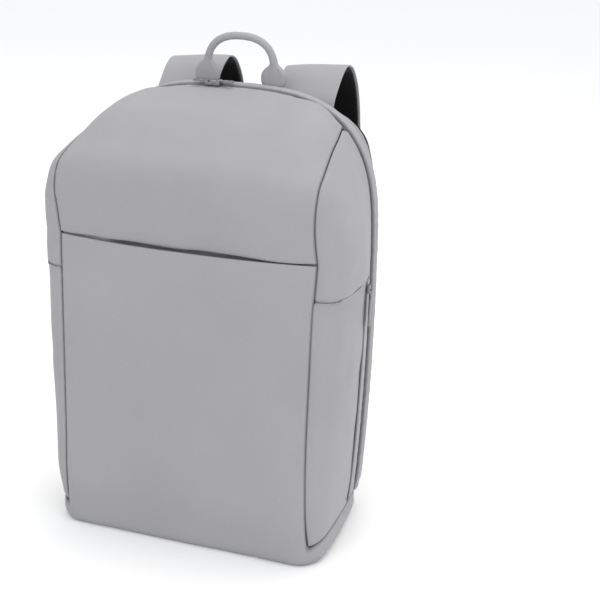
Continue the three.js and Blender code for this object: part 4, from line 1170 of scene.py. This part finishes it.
def on_both_sides(right, cad):
    """Puts a piece on the +X side and its twin on the other, each for its own CAD node."""
    left = other_side(right, right.name.replace("_right", "_left"))
    for piece, side in ((right, "right"), (left, "left")):
        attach(piece, "bag")
        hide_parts(f"{cad}_{side}")
    return right, left


SETTLE = 0.085  # how steeply both crowns have settled towards the bag's left


def settle(piece, right_edge):
    """Lowers the left side of a strap's crown, as it has settled."""
    at = vertices_of(piece.data)
    at[:, 2] -= SETTLE * np.clip(right_edge - at[:, 0], 0, STRAP_WIDTH) * smooth(0.41, 0.455, at[:, 2])
    piece.data.vertices.foreach_set("co", at.ravel())


for layer, cad, slot in ((strap, "strap", "cloth"), (liner, "strap_lining", "mesh_lining")):
    right, left = on_both_sides(layer, cad)
    settle(right, SHIFT[0] + STRAP_HALF + STRAP_WIDTH / 2)
    settle(left, SHIFT[0] - STRAP_HALF + STRAP_WIDTH / 2)

# The ladder buckles are moulded in black nylon: two rails joined by three bars. Narrow woven webbing
# hangs from each to a folded cloth tab, sewn in low on the back panel.
WEBBING_WIDE = 0.025
WEBBING_THICK = 0.0018
BUCKLE_WIDE = 0.034
BUCKLE_TALL = 0.024
BUCKLE_THICK = 0.005
RAIL_WIDE = 0.0042
BAR_TALL = 0.0042
TAB_WIDE = 0.031
TAB_THICK = 0.003
WEBBING_LEAD = 0.014
WEBBING_BOW = 0.002


def plastic_material():
    """Black moulded nylon with a fine spark-eroded grain."""
    material, tree = blank_material("buckle_plastic")
    grain = noise(tree, 2200.0, 2.0)
    drift = noise(tree, 90.0, 2.0)
    colour = blend_colour(tree, drift, (0.016, 0.016, 0.017, 1), (0.026, 0.026, 0.028, 1))
    roughness = maths(tree, "ADD", maths(tree, "MULTIPLY", drift, 0.15), 0.38)
    finish_shader(tree, colour, roughness, grain, 0.00003, Specular_IOR_Level=0.5)
    return material


def webbing_material():
    """Flat woven webbing, ribbed across."""
    material, tree = blank_material("woven_webbing")
    flat = flat_place(tree)
    ribs = bands(tree, flat, "Y", 0.0016)
    yarns = bands(tree, flat, "X", 0.0008)
    grain = noise(tree, 1300.0, 3.0)
    weave = maths(tree, "MULTIPLY", ribs, yarns)
    colour = blend_colour(tree, weave, (0.2, 0.2, 0.207, 1), (0.3, 0.3, 0.308, 1))
    height = maths(tree, "ADD", weave, maths(tree, "MULTIPLY", grain, 0.3))
    finish_shader(tree, colour, 0.8, height, 0.0003, Sheen_Weight=0.15, Specular_IOR_Level=0.25)
    return material


plastic = plastic_material()
webbing_cloth = webbing_material()


def rounded_box(name, at, ways, size, round_off):
    """A box with rounded edges, with its own X, Y and Z along ways."""
    work = bmesh.new()
    bmesh.ops.create_cube(work, size=1.0)
    for vertex in work.verts:
        vertex.co = Vector([c * s for c, s in zip(vertex.co, size)])
    bmesh.ops.bevel(work, geom=work.edges[:], offset=round_off, segments=3, profile=0.5, affect="EDGES")
    turned = Matrix([Vector(way) for way in ways]).transposed().to_4x4()
    bmesh.ops.transform(work, matrix=Matrix.Translation(Vector(at + SHIFT)) @ turned, verts=work.verts)
    mesh = bpy.data.meshes.new(name)
    work.to_mesh(mesh)
    work.free()
    return finished(name, mesh)


def ribbon_mesh(name, line, wide, thick, steps):
    """A flat band along a line, with rounded edges."""
    share = np.linspace(0, 1, steps)
    at, across, out, _ = ribbon_frames(line, share)
    turn = np.linspace(0, math.pi, 7)
    flat = np.linspace(-1, 1, 13)[1:-1] * (wide - thick) / 2
    section = [(a, thick / 2) for a in flat]
    section += [((wide - thick) / 2 + thick / 2 * math.sin(t), thick / 2 * math.cos(t)) for t in turn]
    section += [(a, -thick / 2) for a in flat[::-1]]
    section += [(-(wide - thick) / 2 - thick / 2 * math.sin(t), thick / 2 * math.cos(t)) for t in turn[::-1]]
    return loft_mesh(name, np.stack([at + across * a + out * n for a, n in section], axis=1))


ends, end_across, end_out, end_ahead = ribbon_frames(strap_line, np.array([1.0]))
end_across, end_out, end_ahead = end_across[0], end_out[0], end_ahead[0]
buckle_top = ends[0] - end_out * STRAP_THIN / 2 + end_ahead * GAP
buckle_ways = (end_across, end_ahead, np.cross(end_across, end_ahead))
parts = []
for side in (-1, 1):
    middle = buckle_top + end_ahead * BUCKLE_TALL / 2 + end_across * side * (BUCKLE_WIDE - RAIL_WIDE) / 2
    parts.append(rounded_box("rail", middle, buckle_ways, (RAIL_WIDE, BUCKLE_TALL, BUCKLE_THICK), 0.0012))
bar_size = (BUCKLE_WIDE - RAIL_WIDE, BAR_TALL, BUCKLE_THICK * 0.8)
for share in (0.09, 0.5, 0.91):
    middle = buckle_top + end_ahead * BUCKLE_TALL * share
    parts.append(rounded_box("bar", middle, buckle_ways, bar_size, 0.0011))
for piece in parts:
    piece.data.materials.append(plastic)
on_both_sides(join_pieces("ladder_buckle_right", parts), "ladder_buckle")

tab_u = 0.5 - TAB_OUT / ARCH_FOOT_HALF / 2
tab_at = np.array([TAB_OUT, float(back_face(tab_u, 0.1)[1]) + GAP + TAB_THICK / 2, TAB_UP])
tab_line = tab_at - np.array([0, 0, 1]) * np.linspace(0, TAB_TALL, 12)[:, None]
tab = ribbon_mesh("foot_tab_right", tab_line, TAB_WIDE, TAB_THICK, 16)
tab.data.materials.append(cloth_grey)
on_both_sides(tab, "foot_tab")

webbing_from = buckle_top + end_ahead * (BUCKLE_TALL * 0.86)
webbing_line = through([
    webbing_from,
    webbing_from + end_ahead * WEBBING_LEAD,
    (mix(webbing_from[0], TAB_OUT, 0.6), mix(webbing_from[1], tab_at[1], 0.62),
     mix(webbing_from[2], TAB_UP, 0.55)),
    tab_at + np.array([0, WEBBING_BOW, WEBBING_LEAD]),
    tab_at + np.array([0, 0, -0.004]),
])
webbing = ribbon_mesh("webbing_right", webbing_line, WEBBING_WIDE, WEBBING_THICK, 90)
webbing.data.materials.append(webbing_cloth)
on_both_sides(webbing, "webbing")

# The side zip runs down the back of the bag's right side pocket: a woven tape with one row of coil
# teeth, beside a raised strip of the bag's cloth that covers the zip's other tape.
SIDE_ZIP_TOP = 0.266
SIDE_ZIP_FOOT = 0.027
SIDE_ZIP_SHARE = 0.71  # share of the side's depth where the zip starts
SIDE_ZIP_WIDE = 0.03
FLAP_REACH = 0.86
SIDE_TAPE = 0.0009
FLAP_THICK = 0.0014
strip_low = side_share_at(SIDE_ZIP_FOOT) / hem_share
strip_high = side_share_at(SIDE_ZIP_TOP) / hem_share


def side_strip(first, last, lift):
    """A face that lies on the side pocket between two shares of its depth."""
    def face(u, v):
        u, v = np.broadcast_arrays(np.asarray(u, float), np.asarray(v, float))
        across = mix(first, last, u)
        up = mix(strip_low, strip_high, v)
        return side_layer(across, up) + normal_of(side_layer, across, up) * lift
    return face


zip_end = SIDE_ZIP_SHARE + SIDE_ZIP_WIDE
tape_face = side_strip(SIDE_ZIP_SHARE, zip_end, GAP + SIDE_TAPE)
side_tape = cloth_shell("side_tape", tape_face, step=0.004, wall=SIDE_TAPE, rolls=(0, 0, 0, 0))
side_tape.data.materials.append(tape)
down = np.linspace(0.01, 0.99, 300)
teeth_path = tape_face(np.full(300, 0.5), down)
teeth_way = normal_of(tape_face, np.full(300, 0.5), down)
side_teeth = zip_teeth("side_teeth", teeth_path + teeth_way * 0.0002, teeth_way, TOOTH_PITCH, 0.0011,
                       0.0022, 0.0011)
side_zip = join_pieces("side_zip_tape", [side_tape, side_teeth])
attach(side_zip, "bag")
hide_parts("side_zip")

flap = cloth_shell("side_zip_cover", side_strip(zip_end + 0.005, FLAP_REACH, GAP + FLAP_THICK), step=0.004,
                   wall=FLAP_THICK, rolls=(0.5, 0.8, 0.5, 0.5), seed=67)
flap.data.materials.append(cloth_grey)
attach(flap, "bag")
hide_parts("side_zip_flap")

# The sliders and their pulls are die-cast metal with a soft satin finish. Each keeps the packed
# model's own shape and pin, with every hard edge rounded, so that a pull still turns on its ears.
CAST_ROUND = 0.00032


def satin_metal():
    """Satin-plated metal, a little uneven and duller where it is handled."""
    material, tree = blank_material("satin_metal")
    drift = noise(tree, 160.0, 3.0)
    grain = noise(tree, 2600.0, 2.0)
    colour = blend_colour(tree, drift, (0.19, 0.19, 0.2, 1), (0.27, 0.27, 0.28, 1))
    roughness = maths(tree, "ADD", maths(tree, "MULTIPLY", drift, 0.16), 0.34)
    finish_shader(tree, colour, roughness, grain, 0.00002, Metallic=0.85, Specular_IOR_Level=0.5)
    return material


slider_metal = satin_metal()


def cast(cad, name, round_off=CAST_ROUND):
    """A copy of a packed metal node with its hard edges rounded."""
    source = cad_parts[cad]
    work = bmesh.new()
    work.from_mesh(source.data)
    bmesh.ops.transform(work, matrix=source.matrix_world, verts=work.verts)
    bmesh.ops.remove_doubles(work, verts=work.verts, dist=1e-5)
    bmesh.ops.dissolve_limit(work, angle_limit=math.radians(2), verts=work.verts, edges=work.edges)
    sharp = [edge for edge in work.edges if edge.is_manifold and edge.calc_face_angle() > math.radians(35)]
    bmesh.ops.bevel(work, geom=sharp, offset=round_off, segments=2, profile=0.5, affect="EDGES",
                    clamp_overlap=True)
    bmesh.ops.triangulate(work, faces=[face for face in work.faces if len(face.verts) > 4])
    mesh = bpy.data.meshes.new(name)
    work.to_mesh(mesh)
    work.free()
    piece = finished(name, mesh)
    mesh.set_sharp_from_angle(angle=math.radians(40))
    piece.data.materials.append(slider_metal)
    return piece


for place_name in ("top_left", "top_right", "side"):
    for kind, body in (("slider", "bag"), ("pull", f"{place_name}_pull")):
        cad = f"{place_name}_{kind}"
        piece = cast(cad, f"{cad}_cast")
        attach(piece, body)
        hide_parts(cad)

# A pale floor under a pale sky, soft lights from the front, the right and above, and a camera at the
# photograph's angle.
CAMERA_AT = (0.5423, -1.1608, 0.6997)  # in the bag's own plan
CAMERA_TURN = math.radians(19.96)
CAMERA_TILT = math.radians(18.767)
CAMERA_ROLL = math.radians(1.417)
FOCAL_LENGTH = 84
floor_mesh = bpy.data.meshes.new("studio_floor")
floor_mesh.from_pydata([(-40, -40, 0), (40, -40, 0), (40, 40, 0), (-40, 40, 0)], [], [(0, 1, 2, 3)])
floor = finished("studio_floor", floor_mesh)
floor_material, tree = blank_material("studio_paper")
fibre = noise(tree, 900.0, 2.0)
paper = blend_colour(tree, fibre, (0.93, 0.93, 0.93, 1), (0.96, 0.96, 0.96, 1))
finish_shader(tree, paper, 0.9, fibre, 0.00002, Specular_IOR_Level=0.1)
floor.data.materials.append(floor_material)

world = bpy.data.worlds.new("studio")
world.use_nodes = True
tree = world.node_tree
sky = tree.nodes["Background"]
sky.inputs[0].default_value = (0.972, 0.983, 1, 1)
way = node(tree, "ShaderNodeSeparateXYZ", Vector=tree.nodes.new("ShaderNodeTexCoord").outputs["Generated"])
strength = maths(tree, "ADD", maths(tree, "MULTIPLY", way.outputs["X"], 0.2), 1.0)
tree.links.new(strength, sky.inputs[1])
bpy.context.scene.world = world


def soft_light(name, at, aim, size, power, colour=(1, 1, 1)):
    light = bpy.data.lights.new(name, "AREA")
    light.color = colour
    light.shape = "DISK"
    light.size = size
    light.energy = power
    lamp = bpy.data.objects.new(name, light)
    bpy.context.scene.collection.objects.link(lamp)
    lamp.location = at
    lamp.rotation_euler = (Vector(aim) - Vector(at)).to_track_quat("-Z", "Y").to_euler()


soft_light("key", (-0.2, -2.3, 1.9), (0, 0, 0.28), 1.6, 14)
soft_light("fill", (2.0, -1.4, 0.9), (0, 0, 0.25), 1.6, 8)
soft_light("top", (0.1, 0.3, 2.3), (0, 0, 0.3), 1.2, 18, (1, 0.95, 0.86))

camera_data = bpy.data.cameras.new("camera")
camera_data.lens = FOCAL_LENGTH
camera_data.sensor_width = 36
camera = bpy.data.objects.new("camera", camera_data)
bpy.context.scene.collection.objects.link(camera)
forward = Vector((-math.sin(CAMERA_TURN) * math.cos(CAMERA_TILT), math.cos(CAMERA_TURN) * math.cos(CAMERA_TILT),
                  -math.sin(CAMERA_TILT)))
level = Vector((math.cos(CAMERA_TURN), math.sin(CAMERA_TURN), 0))
right_way = level * math.cos(CAMERA_ROLL) + level.cross(forward) * math.sin(CAMERA_ROLL)
turned = Matrix((right_way, right_way.cross(forward), -forward)).transposed()
camera.matrix_world = Matrix.Translation(Vector(CAMERA_AT) + Vector(SHIFT)) @ turned.to_4x4()
bpy.context.scene.camera = camera
bpy.context.scene.view_settings.view_transform = "Standard"
